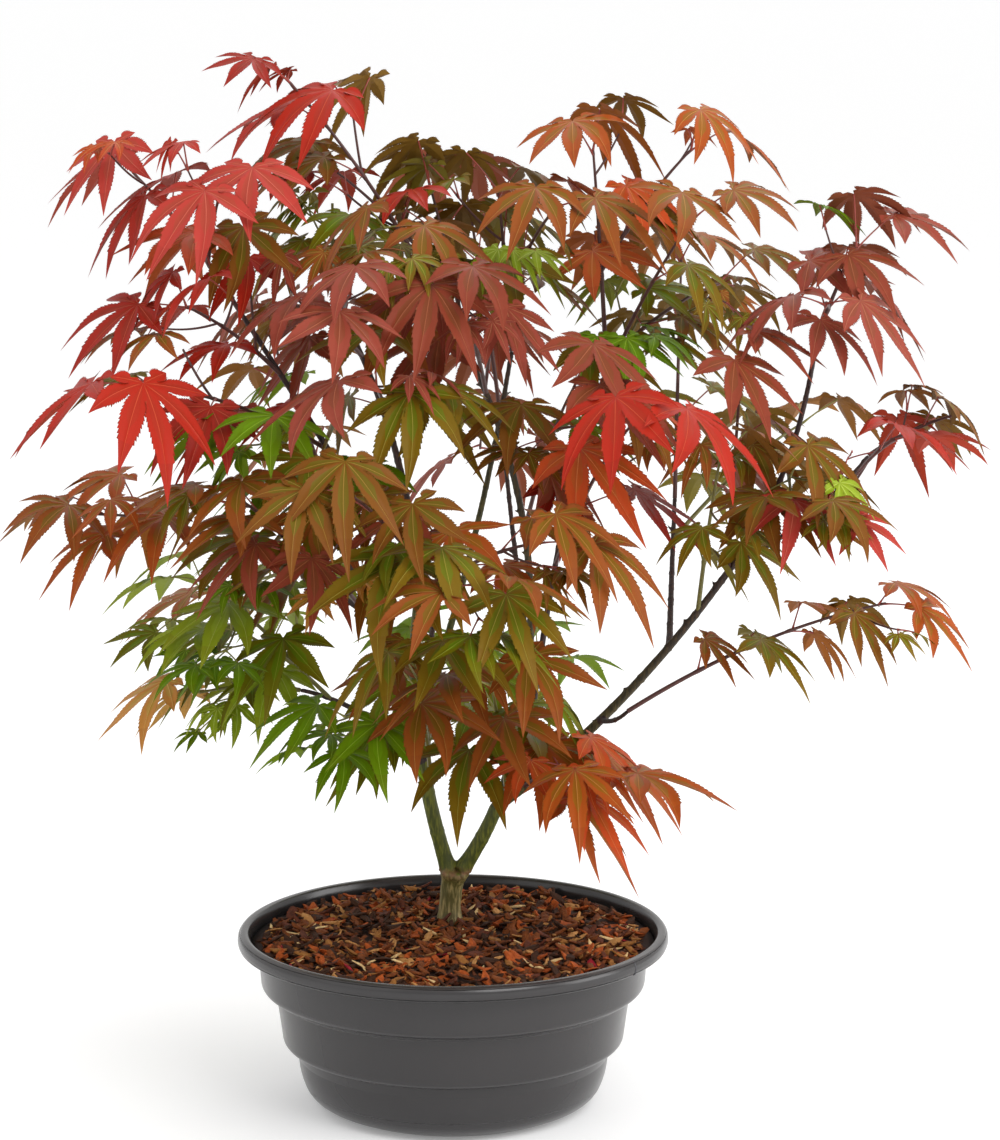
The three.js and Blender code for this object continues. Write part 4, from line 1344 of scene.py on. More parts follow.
MASS_ROWS = (
    MassRow("leader_tip", "leader", 1, 64, Tint.RED, 1, ((-172, 102, 662, 4),)),
    MassRow("leader_side", "leader", 0.9, 56, Tint.BRONZE, 1, ((110, 44, 596, 3), (148, 92, 605, 2))),
    MassRow("high_left", "bough_left_high", 1, 58, Tint.OLIVE, 2, ((166, 78, 584, 3), (-124, 72, 574, 2))),
    MassRow("high_front", "bough_left_high", 0.78, 64, Tint.DUSK, 1,
            ((-140, 130, 530, 2), (-116, 134, 538, 2))),
    MassRow("left_crest", "bough_left_mid", 1, 62, Tint.RED, 1, ((-168, 200, 607, 3), (-146, 168, 592, 2))),
    MassRow("left_shoulder", "bough_left_mid", 0.82, 60, Tint.RED, 2, ((-152, 181, 528, 3),)),
    MassRow("left_breast", "bough_left_mid", 0.58, 66, Tint.RED, 1, ((-142, 230, 486, 3),)),
    MassRow("left_inner", "bough_left_mid", 0.35, 58, Tint.GREEN, 4, ((-132, 168, 456, 3),)),
    MassRow("left_low_tip", "bough_left_low", 1, 62, Tint.RUST, 1, ((-166, 226, 396, 3),)),
    MassRow("left_low_front", "bough_left_low", 0.55, 60, Tint.BRONZE, 1, ((-136, 184, 420, 3),)),
    MassRow("foot_left_tip", "bough_left_foot", 1, 50, Tint.LIME, 2, ((-176, 162, 274, 3),)),
    MassRow("foot_left_lime", "bough_left_foot", 0.75, 56, Tint.LIME, 3,
            ((-154, 152, 326, 3), (167, 170, 338, 2))),
    MassRow("foot_left_hang", "bough_left_foot", 0.35, 58, Tint.GREEN, 2, ((-124, 116, 276, 2),)),
    MassRow("front_low", "stem_left", 0.3, 62, Tint.OLIVE, 1, ((-98, 150, 320, 3),)),
    MassRow("front_low_right", "bough_right", 0.04, 60, Tint.OLIVE, 1, ((-80, 142, 306, 3),)),
    MassRow("foot_right", "bough_right", 0.1, 62, Tint.ORANGE, 1, ((-42, 122, 238, 4),)),
    MassRow("front_rust", "bough_front", 1, 70, Tint.RUST, 1, ((-86, 214, 378, 3),)),
    MassRow("front_left", "bough_front", 0.85, 62, Tint.BRONZE, 1, ((-106, 212, 432, 3),)),
    MassRow("front_right", "bough_front", 0.9, 62, Tint.RUST, 1, ((-73, 186, 398, 3),)),
    MassRow("center_mid", "bough_left_high", 0.5, 64, Tint.DUSK, 1, ((-106, 170, 490, 3),)),
    MassRow("center_low", "bough_left_low", 0.3, 58, Tint.BRONZE, 2, ((-124, 166, 384, 3),)),
    MassRow("center_upper", "leader", 0.82, 58, Tint.DUSK, 1, ((-88, 95, 542, 3),)),
    MassRow("center_tip", "stem_center", 1, 56, Tint.BRONZE, 1, ((54, 50, 590, 3), (-44, 92, 588, 2))),
    MassRow("center_right", "leader", 0.55, 60, Tint.DUSK, 1, ((-58, 142, 484, 3),)),
    MassRow("upright_tip", "upright", 1, 56, Tint.ORANGE, 1, ((8, 90, 618, 3), (6, 152, 618, 2))),
    MassRow("upright_side", "upright", 0.8, 56, Tint.BRONZE, 1, ((-22, 162, 582, 3), (24, 190, 528, 2))),
    MassRow("upright_green", "upright", 0.62, 56, Tint.GREEN, 4, ((18, 128, 514, 3),)),
    MassRow("right_front", "upright", 0.5, 66, Tint.RED, 1, ((-56, 206, 474, 3),)),
    MassRow("right_mid", "bough_right", 0.93, 60, Tint.DUSK, 2, ((-22, 192, 482, 3),)),
    MassRow("right_green", "bough_right", 0.8, 50, Tint.OLIVE, 1, ((-26, 184, 434, 2),)),
    MassRow("right_tip", "bough_right_high", 1, 56, Tint.DUSK, 1, ((-2, 254, 558, 3), (-12, 236, 526, 2))),
    MassRow("right_side", "bough_right_high", 0.45, 58, Tint.OLIVE, 2, ((-24, 228, 412, 3),)),
    MassRow("right_far", "bough_right_far", 1, 56, Tint.RED, 1, ((1, 318, 450, 3), (-18, 250, 406, 2))),
    MassRow("right_low", "bough_right_low", 1, 44, Tint.RUST, 1, ((-7, 276, 336, 5),)),
    MassRow("back_left_high", "bough_back_left", 1, 58, Tint.BRONZE, 2, ((124, 232, 486, 3),)),
    MassRow("back_left_low", "bough_back_left", 0.8, 58, Tint.OLIVE, 2, ((128, 262, 300, 3),)),
    MassRow("back_top", "bough_back", 1, 58, Tint.DUSK, 2, ((88, 176, 590, 3), (86, 236, 398, 2))),
    MassRow("back_right_high", "bough_back_right", 1, 58, Tint.BRONZE, 2, ((50, 240, 536, 3),)),
    MassRow("back_right_mid", "bough_back_right", 0.75, 58, Tint.OLIVE, 2, ((37, 300, 424, 3),)),
    MassRow("back_low", "stem_left", 0.38, 56, Tint.GREEN, 3, ((94, 194, 268, 2), (74, 214, 258, 2))),
)


@dataclass(frozen=True)
class Growth:
    """How shoots, side twigs and leaves grow, as in the model's source. Sizes in millimetres."""

    seed: int = 44
    shoot_radius: float = 1.6
    tip_radius: float = 0.75
    lift: float = 0.1
    branch_at: float = 0.3
    first_pair: float = 0.28
    last_pair: float = 0.98
    twig_pair: float = 0.94
    twig_chance: float = 0.06
    twig_length: Span = (26.0, 46.0)
    twig_radius: float = 0.9
    stalk_length: Span = (0.34, 0.62)
    root_start: float = 0.3
    stagger: float = 1.5
    leaf_scale: Span = (0.76, 1.0)
    pitch: Span = (0.1, 0.72)
    droop: Span = (0.12, 0.36)
    swing: float = 0.4
    roll: float = 0.35
    pair_turn: float = 0.5
    pair_flat: float = 0.55
    ahead: float = 0.45
    ahead_at_tip: float = 0.75
    aside: float = 0.85
    upward: float = 0.22
    twig_fork: float = 0.9
    twig_leaf: float = 0.88
    finer_seed: int = 300
    finer_from: Span = (0.3, 0.97)
    finer_length: Span = (12.0, 44.0)
    finer_radius: float = 0.8
    finer_leaf: Span = (0.42, 0.78)
    finer_margin: float = 6.0
    finer_flat: float = 0.7
    finer_ahead: float = 0.55
    finer_aside: float = 0.8
    finer_upward: Span = (-0.3, 0.35)
    finer_taper: float = 0.7
    finer_spreads: tuple[float, ...] = (0.85, -0.85, 0.0)
    finer_third: float = 0.4
    finer_root: float = 0.96


@dataclass(frozen=True)
class Room:
    """The space that a mass of foliage keeps to: its lowest and highest corners."""

    low: np.ndarray
    high: np.ndarray

    def holds(self, points: np.ndarray) -> bool:
        """Whether every point lies in it."""
        return bool(np.all(points >= self.low) and np.all(points <= self.high))

    def drawn_in(self, points: np.ndarray, hub: Vector) -> np.ndarray:
        """Points moved by up to a millimetre, then drawn towards a hub, until they all lie in it."""
        over = np.clip(points.max(axis=0) - self.high, 0.0, 1.0)
        points, middle = points - over, np.array(hub) - over
        for _ in range(12):
            if self.holds(points):
                break
            points = middle + (points - middle) * 0.96
        return points


def room_of(box: Sequence, margin: float = 0.0) -> Room:
    """The room, in millimetres, of a box in metres, grown by a margin."""
    low, high = (np.array([c / MM for c in corner]) for corner in box)
    return Room(low - margin, high + margin)


@dataclass(frozen=True)
class Twig:
    """A shoot or side twig: its line and its radii from foot to tip."""

    bend: Bend
    radii: Span
    pairs: tuple[float, ...] = ()


@dataclass
class Leaf:
    """A leaf as drawn by the rule, before its blade is turned to keep clear."""

    point: Vector
    direction: Vector
    stalk: float
    swing: float
    pitch: float
    droop: float
    size: float
    roll: float
    spray: int


@dataclass(frozen=True)
class Turn:
    """A way that a leaf may turn, tip and shrink to keep clear."""

    swing: float
    pitch: float
    scale: float


TURNS = (
    Turn(0.0, 0.0, 1.0), Turn(0.5, 0.1, 0.95), Turn(-0.5, 0.1, 0.95),
    Turn(0.25, -0.3, 0.85), Turn(-0.3, 0.4, 0.75), Turn(0.95, 0.0, 0.85),
    Turn(-0.95, 0.0, 0.85), Turn(0.3, -0.3, 0.65), Turn(0.0, 0.5, 0.6),
)


@dataclass(frozen=True)
class BladeFrame:
    """Where a blade lies: its hub, its axes, its length and how far it droops."""

    hub: Vector
    forward: Vector
    side: Vector
    size: float
    droop: float

    def point(self, angle: float, share: float) -> Vector:
        """A point at an angle in degrees from the middle lobe and a share of its length."""
        turn = math.radians(angle)
        flat = self.forward * math.cos(turn) + self.side * math.sin(turn)
        return self.hub + flat * self.size * share - UP * self.size * self.droop * share * share


def blade_frame(leaf: Leaf, turn: Turn) -> BladeFrame:
    """The place of a leaf's blade in one of the ways it may turn."""
    hub = leaf.point + leaf.direction * leaf.stalk
    outward = Vector((leaf.point.x, leaf.point.y, 0.0)).normalized()
    heading = (Vector((leaf.direction.x, leaf.direction.y, 0.0)) + outward * 0.6).normalized()
    heading.rotate(Matrix.Rotation(leaf.swing + turn.swing, 3, UP))
    pitch = leaf.pitch + turn.pitch
    forward = heading * math.cos(pitch) - UP * math.sin(pitch)
    side = UP.cross(heading)
    side.rotate(Matrix.Rotation(leaf.roll, 3, forward))
    return BladeFrame(hub, forward, side, leaf.size * turn.scale, leaf.droop)


def array_of(points: Sequence[Vector]) -> np.ndarray:
    """Points as an array with a row for each."""
    return np.array([tuple(point) for point in points])


class Owner(Enum):
    """Owners of bodies in the air other than the masses, which are known by their numbers."""

    LIMB = -1
    LEAF = -2


class Air:
    """What is taken up already, against which each new blade is tested."""

    def __init__(self) -> None:
        """Starts empty."""
        self.bodies: list[tuple[BVHTree, int]] = []
        self.lows: list[np.ndarray] = []
        self.highs: list[np.ndarray] = []

    def add(self, points: Sequence[Vector], faces: Sequence, owner: int) -> None:
        """Takes up the space of a body that belongs to an owner."""
        array = array_of(points)
        self.bodies.append((BVHTree.FromPolygons(points, faces), owner))
        self.lows.append(array.min(0))
        self.highs.append(array.max(0))

    def is_clear(self, points: Sequence[Vector], faces: Sequence, spared: int) -> bool:
        """Tests a body against all that is taken up.

        Args:
            points: The body's points.
            faces: Its faces.
            spared: The owner whose bodies it may touch.

        Returns:
            Whether it touches nothing else.
        """
        array = array_of(points)
        low, high = array.min(0), array.max(0)
        near = np.all((np.array(self.lows) < high) & (np.array(self.highs) > low), axis=1)
        tested = None
        for index in np.nonzero(near)[0]:
            body, owner = self.bodies[index]
            if owner == spared:
                continue
            tested = tested or BVHTree.FromPolygons(points, faces)
            if tested.overlap(body):
                return False
        return True


@dataclass(frozen=True)
class CoarseBlade:
    """The five-lobed body that a blade is tested by."""

    lobes: Pairs = ((-82, 0.7), (-40, 0.92), (0, 1.0), (40, 0.92), (82, 0.7))
    notch: float = 0.3
    heel: Span = (145, 0.07)
    thickness: float = 2.4
    clearance: float = 1.0

    def body(self, place_of: BladeFrame) -> tuple[list[Vector], list[tuple[int, int, int]]]:
        """Its points and faces.

        Args:
            place_of: Where the blade lies.

        Returns:
            The points and the faces.
        """
        wide = replace(place_of, size=place_of.size + self.clearance)
        rim = []
        for i, (angle, length) in enumerate(self.lobes):
            if i:
                rim.append(wide.point((angle + self.lobes[i - 1][0]) / 2, self.notch))
            rim.append(wide.point(angle, length))
        angle, share = self.heel
        rim += [wide.point(angle, share), wide.point(-angle, share)]
        normal = wide.forward.cross(wide.side)
        poles = [wide.hub + normal * way * self.thickness / 2 for way in (1, -1)]
        count = len(rim)
        faces = []
        for i in range(count):
            j = (i + 1) % count
            faces += [(count, i, j), (count + 1, j, i)]
        return rim + poles, faces


# -------- a blade in full


@dataclass
class BladeShape:
    """The layout of one blade, shared by every leaf: seven toothed lobes, folded along their
    ribs, with a pale raised rib on each. Lengths are shares of the middle lobe unless said."""

    angles: tuple[float, ...] = (-118.0, -80.0, -40.0, 0.0, 40.0, 80.0, 118.0)
    lengths: tuple[float, ...] = (0.36, 0.7, 0.93, 1.0, 0.93, 0.7, 0.36)
    notch: float = 0.235
    widest: float = 0.12
    widths: Pairs = (
        (0.0, 0.64), (0.16, 0.9), (0.33, 1.0), (0.5, 0.92), (0.67, 0.66), (0.84, 0.32), (1.0, 0.0),
    )
    teeth: int = 3
    tooth: float = 0.014
    tooth_steps: Pairs = ((0.72, 1.0), (0.86, -0.25))
    tooth_ahead: float = 0.012
    heart_rows: int = 5
    splay: float = 4.0
    stretch: Span = (0.93, 1.05)
    curl: float = 0.26
    sag: float = 0.24
    wave: float = 0.008
    folding: Span = (0.5, 1.3)
    fold: float = 0.36
    half_thickness: float = 0.2
    vein_width: float = 0.3
    vein_height: float = 0.16

    def __post_init__(self) -> None:
        """Lays out the vertices and the faces."""
        self.rows: list[tuple] = []
        self.faces: list[tuple[int, ...]] = []
        self.kinds: list[int] = []
        self.sharp: list[int] = []
        self._lay_out()

    def _vertex(self, first: int, second: int, reach: float, aside: float, rise: float, mm_up: float,
                mm_aside: float = 0.0, crease: int = 0) -> int:
        """Adds a vertex: two lobes it lies between, its reach and offset, its rise by the fold,
        and offsets in millimetres. Returns its number."""
        self.rows.append((first, second, reach, aside, rise, mm_up, mm_aside))
        self.sharp.append(crease)
        return len(self.rows) - 1

    def _face(self, corners: Sequence[int], kind: Face, flip: bool) -> None:
        """Adds a face, turned over for the other half of a lobe."""
        row = [c for i, c in enumerate(corners) if c != corners[i - 1]]
        self.faces.append(tuple(reversed(row)) if flip else tuple(row))
        self.kinds.append(kind.value)

    def _lay_out(self) -> None:
        """The webs between the lobes, then all lobes."""
        thick = self.half_thickness
        hubs = (self._vertex(3, 3, 0.0, 0.0, 0.0, thick), self._vertex(3, 3, 0.0, 0.0, 0.0, -thick))
        webs = []
        for i in range(len(self.angles) - 1):
            half = math.radians((self.angles[i + 1] - self.angles[i]) / 2)
            notch = self.notch * (0.72 if i in (0, len(self.angles) - 2) else 1.0)
            middle = [self._vertex(i, i + 1, notch / 2, 0.0, notch / 2 * math.sin(half), way * thick * 0.7)
                      for way in (1, -1)]
            webs.append((middle, self._vertex(i, i + 1, notch, 0.0, notch * math.sin(half), 0.0, crease=1)))
        for lobe in range(len(self.angles)):
            self._lobe(lobe, hubs, webs)
        self.layout = np.array(self.rows)

    def _half_width(self, lobe: int) -> float:
        """Half the width of a lobe where it is widest."""
        return self.widest * (0.55 + 0.45 * self.lengths[lobe])

    def _lobe(self, lobe: int, hubs: tuple[int, int], webs: list) -> None:
        """The two halves of one lobe.

        Args:
            lobe: Its number.
            hubs: The vertices over and under the hub.
            webs: The vertices between each two lobes: those halfway, over and under, and the notch.
        """
        length = self.lengths[lobe]
        thick = self.half_thickness
        start = self.notch * (0.9 if 0 < lobe < len(self.angles) - 1 else 0.6)
        reaches = [start / 2, start] + [start + (length - start) * share for share, _ in self.widths[1:]]
        ribs = [hubs]
        for reach in reaches[:-1]:
            top = self._vertex(lobe, lobe, reach, 0.0, 0.0, thick + self.vein_height, crease=2)
            ribs.append((top, self._vertex(lobe, lobe, reach, 0.0, 0.0, -thick, crease=2)))
        tip = self._vertex(lobe, lobe, length, 0.0, 0.0, 0.0, crease=1)
        ribs.append((tip, tip))
        for half in (-1, 1):
            flip = half < 0
            neighbour = lobe + half
            is_joined = 0 <= neighbour < len(self.angles)
            if is_joined:
                (top, bottom), notch = webs[min(lobe, neighbour)]
                edge = [hubs, (top, bottom), (notch, notch)]
            else:
                first = self._vertex(lobe, lobe, start * 0.5, half * 0.05, 0.04, 0.0, crease=1)
                base = half * self.widest * length * 0.62
                second = self._vertex(lobe, lobe, start, base, 0.05, 0.0, crease=1)
                edge = [hubs, (first, first), (second, second)]
            for row, (_, width) in enumerate(self.widths[1:-1]):
                aside = half * width * self._half_width(lobe)
                margin = self._vertex(lobe, lobe, reaches[row + 2], aside, abs(aside), 0.0, crease=1)
                edge.append((margin, margin))
            edge.append((tip, tip))
            margins = self._teeth(lobe, half, edge, reaches)
            mids = [hubs[0]]
            for row in range(1, len(edge) - 1):
                rib, outer = self.rows[ribs[row][0]], self.rows[edge[row][0]]
                if row < 3 and is_joined:
                    between = math.radians(abs(self.angles[neighbour] - self.angles[lobe]) / 2)
                    width = abs(rib[2] * math.sin(between))
                else:
                    width = abs(outer[3])
                mids.append(self._vertex(lobe, lobe, rib[2], half * width * 0.5, width * 0.5, thick * 0.8))
            mids.append(tip)
            veins = [hubs[0]]
            for reach in reaches[:-1]:
                width = half * self.vein_width * (1 - 0.8 * reach) * (0.6 + 0.4 * length)
                veins.append(self._vertex(lobe, lobe, reach, 0.0, 0.0, thick, width))
            veins.append(tip)
            for row in range(len(edge) - 1):
                outer = Face.BLADE if row <= self.heart_rows else Face.TAIL
                heart = Face.HEART if row < self.heart_rows else outer
                self._face((ribs[row][0], ribs[row + 1][0], veins[row + 1], veins[row]), Face.VEIN, flip)
                if row == self.heart_rows - 1:
                    self._face((veins[row], veins[row + 1], mids[row]), heart, flip)
                    self._face((veins[row + 1], mids[row + 1], mids[row]), outer, flip)
                else:
                    self._face((veins[row], veins[row + 1], mids[row + 1], mids[row]), heart, flip)
                ring = [mids[row], mids[row + 1], edge[row + 1][0], *reversed(margins[row]), edge[row][0]]
                self._face(ring, outer, flip)
                below = [ribs[row][1], edge[row][1], *margins[row], edge[row + 1][1], ribs[row + 1][1]]
                self._face(below, Face.UNDER, flip)
            if not is_joined:
                self._face((hubs[0], edge[1][0], hubs[1]), Face.UNDER, flip)

    def _teeth(self, lobe: int, half: int, edge: list, reaches: list[float]) -> list[list[int]]:
        """Extra margin vertices between the rows: teeth that point to the lobe's tip.

        Args:
            lobe: The number of the lobe.
            half: Its side, -1 or 1.
            edge: The vertices of its margin, row by row.
            reaches: How far from the hub each row lies.

        Returns:
            The added vertices after each row.
        """
        margins: list[list[int]] = []
        for row in range(len(edge) - 1):
            extra: list[int] = []
            if 2 <= row < len(edge) - 3:
                near, far = self.rows[edge[row][0]], self.rows[edge[row + 1][0]]
                low = reaches[row - 1] if row == 2 else near[2]
                width = near[3] if row > 2 else half * self.widths[0][1] * self._half_width(lobe)
                for k in range(self.teeth):
                    for step, out in self.tooth_steps:
                        if k == self.teeth - 1 and out < 0:
                            continue
                        share = (k + step) / self.teeth
                        aside = mix((width, far[3]), share)
                        grown = aside + half * self.tooth * out
                        reach = mix((low, far[2]), share) + (self.tooth_ahead if out > 0 else 0.0)
                        extra.append(self._vertex(lobe, lobe, reach, grown, abs(grown), 0.0, crease=1))
            margins.append(extra)
        return margins

    def points(self, frame_of: BladeFrame, draw: SeededDraw) -> np.ndarray:
        """The vertices of one leaf, with its own small unevenness.

        Args:
            frame_of: Where the blade lies.
            draw: The numbers for its unevenness.

        Returns:
            One row for each vertex, in millimetres.
        """
        count = len(self.angles)
        angles = np.radians([a + draw.span(-self.splay, self.splay) for a in self.angles])
        lengths = np.array([draw.span(*self.stretch) for _ in range(count)])
        curls = np.array([draw.span(-self.curl, self.curl) for _ in range(count)])
        sags = np.array([draw.span(0.0, self.sag) for _ in range(count)])
        fold = self.fold * draw.span(*self.folding)
        first, second = self.layout[:, 0].astype(int), self.layout[:, 1].astype(int)
        reach, aside, rise, mm_up, mm_aside = self.layout[:, 2:].T
        along = reach * (lengths[first] + lengths[second]) / 2
        turn = (angles[first] + angles[second]) / 2 + (curls[first] + curls[second]) / 2 * reach**2
        across = aside + mm_aside / frame_of.size
        x = along * np.cos(turn) - across * np.sin(turn)
        y = along * np.sin(turn) + across * np.cos(turn)
        wave = self.wave * np.sin(9 * reach + 3 * first + 6.28 * draw())
        wave *= np.minimum(1.0, np.abs(aside) * 12)
        forward, side = np.array(frame_of.forward), np.array(frame_of.side)
        normal = np.cross(forward, side)
        size = frame_of.size
        flat = np.outer(x, forward) + np.outer(y, side) + np.outer(fold * rise + wave, normal)
        radius = x**2 + y**2
        drop = frame_of.droop * radius + (sags[first] + sags[second]) / 2 * reach**3
        low = np.outer(drop, np.array(UP))
        return np.array(frame_of.hub) + size * (flat - low) + np.outer(mm_up, normal)


class LeafHeap:
    """Leaves of one paint, gathered into one mesh."""

    def __init__(self, paint: LeafPaint, shape: BladeShape) -> None:
        """Starts an empty heap."""
        self.paint = paint
        self.shape = shape
        self.blades: list[np.ndarray] = []
        self.nodes: set[str] = set()

    def add(self, points: np.ndarray, node: str) -> None:
        """Adds one blade that grows in a node's mass."""
        self.blades.append(points)
        self.nodes.add(node)

    def build(self) -> Piece:
        """The mesh of all its leaves, with crisp margins and ribs."""
        shape, count = self.shape, len(self.blades)
        points = np.concatenate(self.blades) * MM
        per = len(shape.rows)
        sizes = np.array([len(face) for face in shape.faces])
        corners = np.array([corner for face in shape.faces for corner in face])
        loops = (corners[None, :] + per * np.arange(count)[:, None]).ravel()
        starts = np.concatenate(([0], np.cumsum(np.tile(sizes, count))[:-1]))
        mesh = bpy.data.meshes.new(f"leaves_{self.paint.name}")
        mesh.vertices.add(len(points))
        mesh.vertices.foreach_set("co", points.astype(np.float32).ravel())
        mesh.loops.add(len(loops))
        mesh.loops.foreach_set("vertex_index", loops.astype(np.int32))
        mesh.polygons.add(len(starts))
        mesh.polygons.foreach_set("loop_start", starts.astype(np.int32))
        for material in self.paint.materials():
            mesh.materials.append(material)
        mesh.polygons.foreach_set("material_index", np.tile(np.array(shape.kinds, np.int32), count))
        mesh.update(calc_edges=True)
        mesh.validate()
        ends = np.zeros(2 * len(mesh.edges), np.int32)
        mesh.edges.foreach_get("vertices", ends)
        crease = np.array(shape.sharp)[ends % per].reshape(-1, 2)
        sharp = (crease[:, 0] > 0) & (crease[:, 1] > 0)
        mesh.shade_smooth()
        mesh.attributes.new("sharp_edge", "BOOLEAN", "EDGE").data.foreach_set("value", sharp)
        return finished(f"foliage_{self.paint.name}", mesh, sorted(self.nodes))


# -------- the foliage


@dataclass(frozen=True)
class Wood:
    """The twigs and the leaf stalks of some tints: the names of both pieces and their finishes."""

    tints: tuple[Tint, ...]
    twigs: str
    twig_finish: TwigFinish
    stalks: str
    stalk_finish: TwigFinish


WOODS = (
    Wood(
        (Tint.RED, Tint.DUSK, Tint.BRONZE, Tint.RUST, Tint.ORANGE),
        "twigs_dark",
        TwigFinish("twig_dark", (58, 34, 34), (98, 56, 48)),
        "leaf_stalks_red",
        TwigFinish("stalk_red", (120, 42, 38), (168, 74, 58)),
    ),
    Wood(
        (Tint.OLIVE, Tint.GREEN, Tint.LIME),
        "twigs_green",
        TwigFinish("twig_green", (84, 82, 36), (124, 116, 56)),
        "leaf_stalks_green",
        TwigFinish("stalk_green", (110, 112, 48), (156, 146, 74)),
    ),
)


@dataclass
class Foliage:
    """Every mass of foliage: shoots, side twigs, stalks and blades. Sizes in millimetres."""

    limbs: dict[str, Limb]
    growth: Growth = Growth()
    coarse: CoarseBlade = CoarseBlade()
    shape: BladeShape = field(default_factory=BladeShape)
    deal_seed: int = 901
    inside_share: float = 0.68
    stalk_radius: float = 0.5
    shoot_sides: int = 7
    shoot_step: float = 3.0
    stalk_sides: int = 5
    stalk_steps: int = 5
    swelling: float = 0.35
    swelling_length: float = 1.8
    margin: float = 0.3

    def __post_init__(self) -> None:
        """Makes the heaps that leaves are gathered in."""
        self.heaps = {paint.name: LeafHeap(paint, self.shape) for paint in PAINTS}
        self.twigs: list[tuple[Twig, Tint]] = []
        self.stalks: list[tuple[Bend, Tint]] = []
        self.air = Air()
        self.whole = room_of(CAD_BOX, -self.margin)

    def plan_leaf(self, draw: SeededDraw, point: Vector, direction: Vector, length: float,
                  spray: int) -> Leaf:
        """A leaf's stalk and blade, from where it stands and the way it sets out."""
        rule = self.growth
        stalk = mix(rule.stalk_length, draw()) * length
        swing = rule.swing * (2 * draw() - 1)
        pitch = mix(rule.pitch, draw())
        droop = mix(rule.droop, draw())
        size = mix(rule.leaf_scale, draw()) * length
        roll = rule.roll * (2 * draw() - 1)
        return Leaf(point, direction, stalk, swing, pitch, droop, size, roll, spray)

    def plan_pair(self, draw: SeededDraw, bend: Bend, share: float, turn: float, length: float, last: bool,
                  spray: int) -> tuple[list[Twig], list[Leaf]]:
        """The two leaves, or side twigs, of one node of a shoot.

        Args:
            draw: The numbers of the mass.
            bend: The shoot's line.
            share: Where on it the node is.
            turn: How far the pair is turned round the shoot.
            length: The length of a leaf.
            last: Whether it is the shoot's last pair.
            spray: The number of its spray.

        Returns:
            The side twigs and the leaves.
        """
        rule = self.growth
        node, tangent = bend.point(share), bend.tangent(share)
        side = tangent.cross(UP).normalized()
        over = side.cross(tangent)
        twigs, leaves = [], []
        for half in (0, 1):
            point = node + tangent * rule.stagger * (2 * half - 1)
            angle = turn + half * math.pi + rule.pair_turn * (2 * draw() - 1)
            out = side * math.cos(angle) + over * rule.pair_flat * math.sin(angle)
            ahead = rule.ahead_at_tip if last else rule.ahead
            direction = (tangent * ahead + out * rule.aside + UP * rule.upward).normalized()
            twig = draw() < rule.twig_chance
            twig_length = mix(rule.twig_length, draw())
            stem = None
            if twig and not last:
                start = point + direction * rule.root_start
                end = start + direction * twig_length
                middle = start.lerp(end, 0.5) - UP * rule.lift * twig_length
                stem = Twig(Bend(start, middle, end), (rule.twig_radius, rule.twig_radius * 0.8))
                twigs.append(stem)
            size = rule.twig_leaf * length if stem else length
            for spread in (rule.twig_fork, -rule.twig_fork) if stem else (0.0,):
                root = stem.bend.point(rule.twig_pair) if stem else point
                way = direction.copy()
                way.rotate(Matrix.Rotation(spread, 3, UP))
                leaves.append(self.plan_leaf(draw, root, way, size, spray))
        return twigs, leaves

    def plan_mass(self, row: MassRow, index: int) -> tuple[list[Twig], list[Leaf]]:
        """The shoots, side twigs and leaves of one mass, before anything is left out.

        Args:
            row: The mass.
            index: Its place in the list.

        Returns:
            The shoots and side twigs, and the leaves.
        """
        rule = self.growth
        draw = SeededDraw(rule.seed + 101 * index)
        twigs: list[Twig] = []
        leaves: list[Leaf] = []
        start = self.limbs[row.parent].bend.point(row.at)
        spray = 0
        for bearing, reach, rise, pairs in row.shoots:
            end = place(bearing, reach, rise)
            length = (end - start).length
            bend = Bend(start, start.lerp(end, 0.5) + UP * rule.lift * length, end)
            shares = [mix((rule.first_pair, rule.last_pair), k / (pairs - 1)) for k in range(pairs)]
            twigs.append(Twig(bend, (rule.shoot_radius, rule.tip_radius), tuple(shares)))
            turn = math.pi * draw()
            for k, share in enumerate(shares):
                way, last = turn + k * math.pi / 2, k == pairs - 1
                stems, pair = self.plan_pair(draw, bend, share, way, row.leaf, last, spray)
                twigs += stems
                leaves += pair
                spray += 1
            start = bend.point(rule.branch_at)
        return twigs, leaves

    def take_up(self, bend: Bend, radius_at: RadiusAt, sides: int, steps: int, owner: int) -> None:
        """Takes up the space of a tube along a bend."""
        rings = tube_rings(bend, radius_at, sides, steps)
        self.air.add([point for ring in rings for point in ring], ring_faces(len(rings), sides), owner)

    def take_up_limbs(self, plans: list[tuple[list[Twig], list[Leaf]]]) -> None:
        """Takes up the space of every limb, shoot and side twig, with some room about it."""
        for limb in self.limbs.values():
            self.take_up(limb.bend, lambda s, l=limb: l.radius_at(s) + 0.3, 5, 8, Owner.LIMB.value)
        for index, (twigs, _) in enumerate(plans):
            for twig in twigs:
                self.take_up(twig.bend, lambda s, t=twig: mix(t.radii, s) + 0.5, 3, 5, index)

    def clear_turn(self, leaf: Leaf, index: int, room: Room) -> BladeFrame | None:
        """The first turn in which a blade keeps to its room and touches no other body, or None."""
        for turn in TURNS:
            frame_of = blade_frame(leaf, turn)
            points, faces = self.coarse.body(frame_of)
            if room.holds(array_of(points)) and self.air.is_clear(points, faces, index):
                self.air.add(points, faces, Owner.LEAF.value)
                return frame_of
        return None

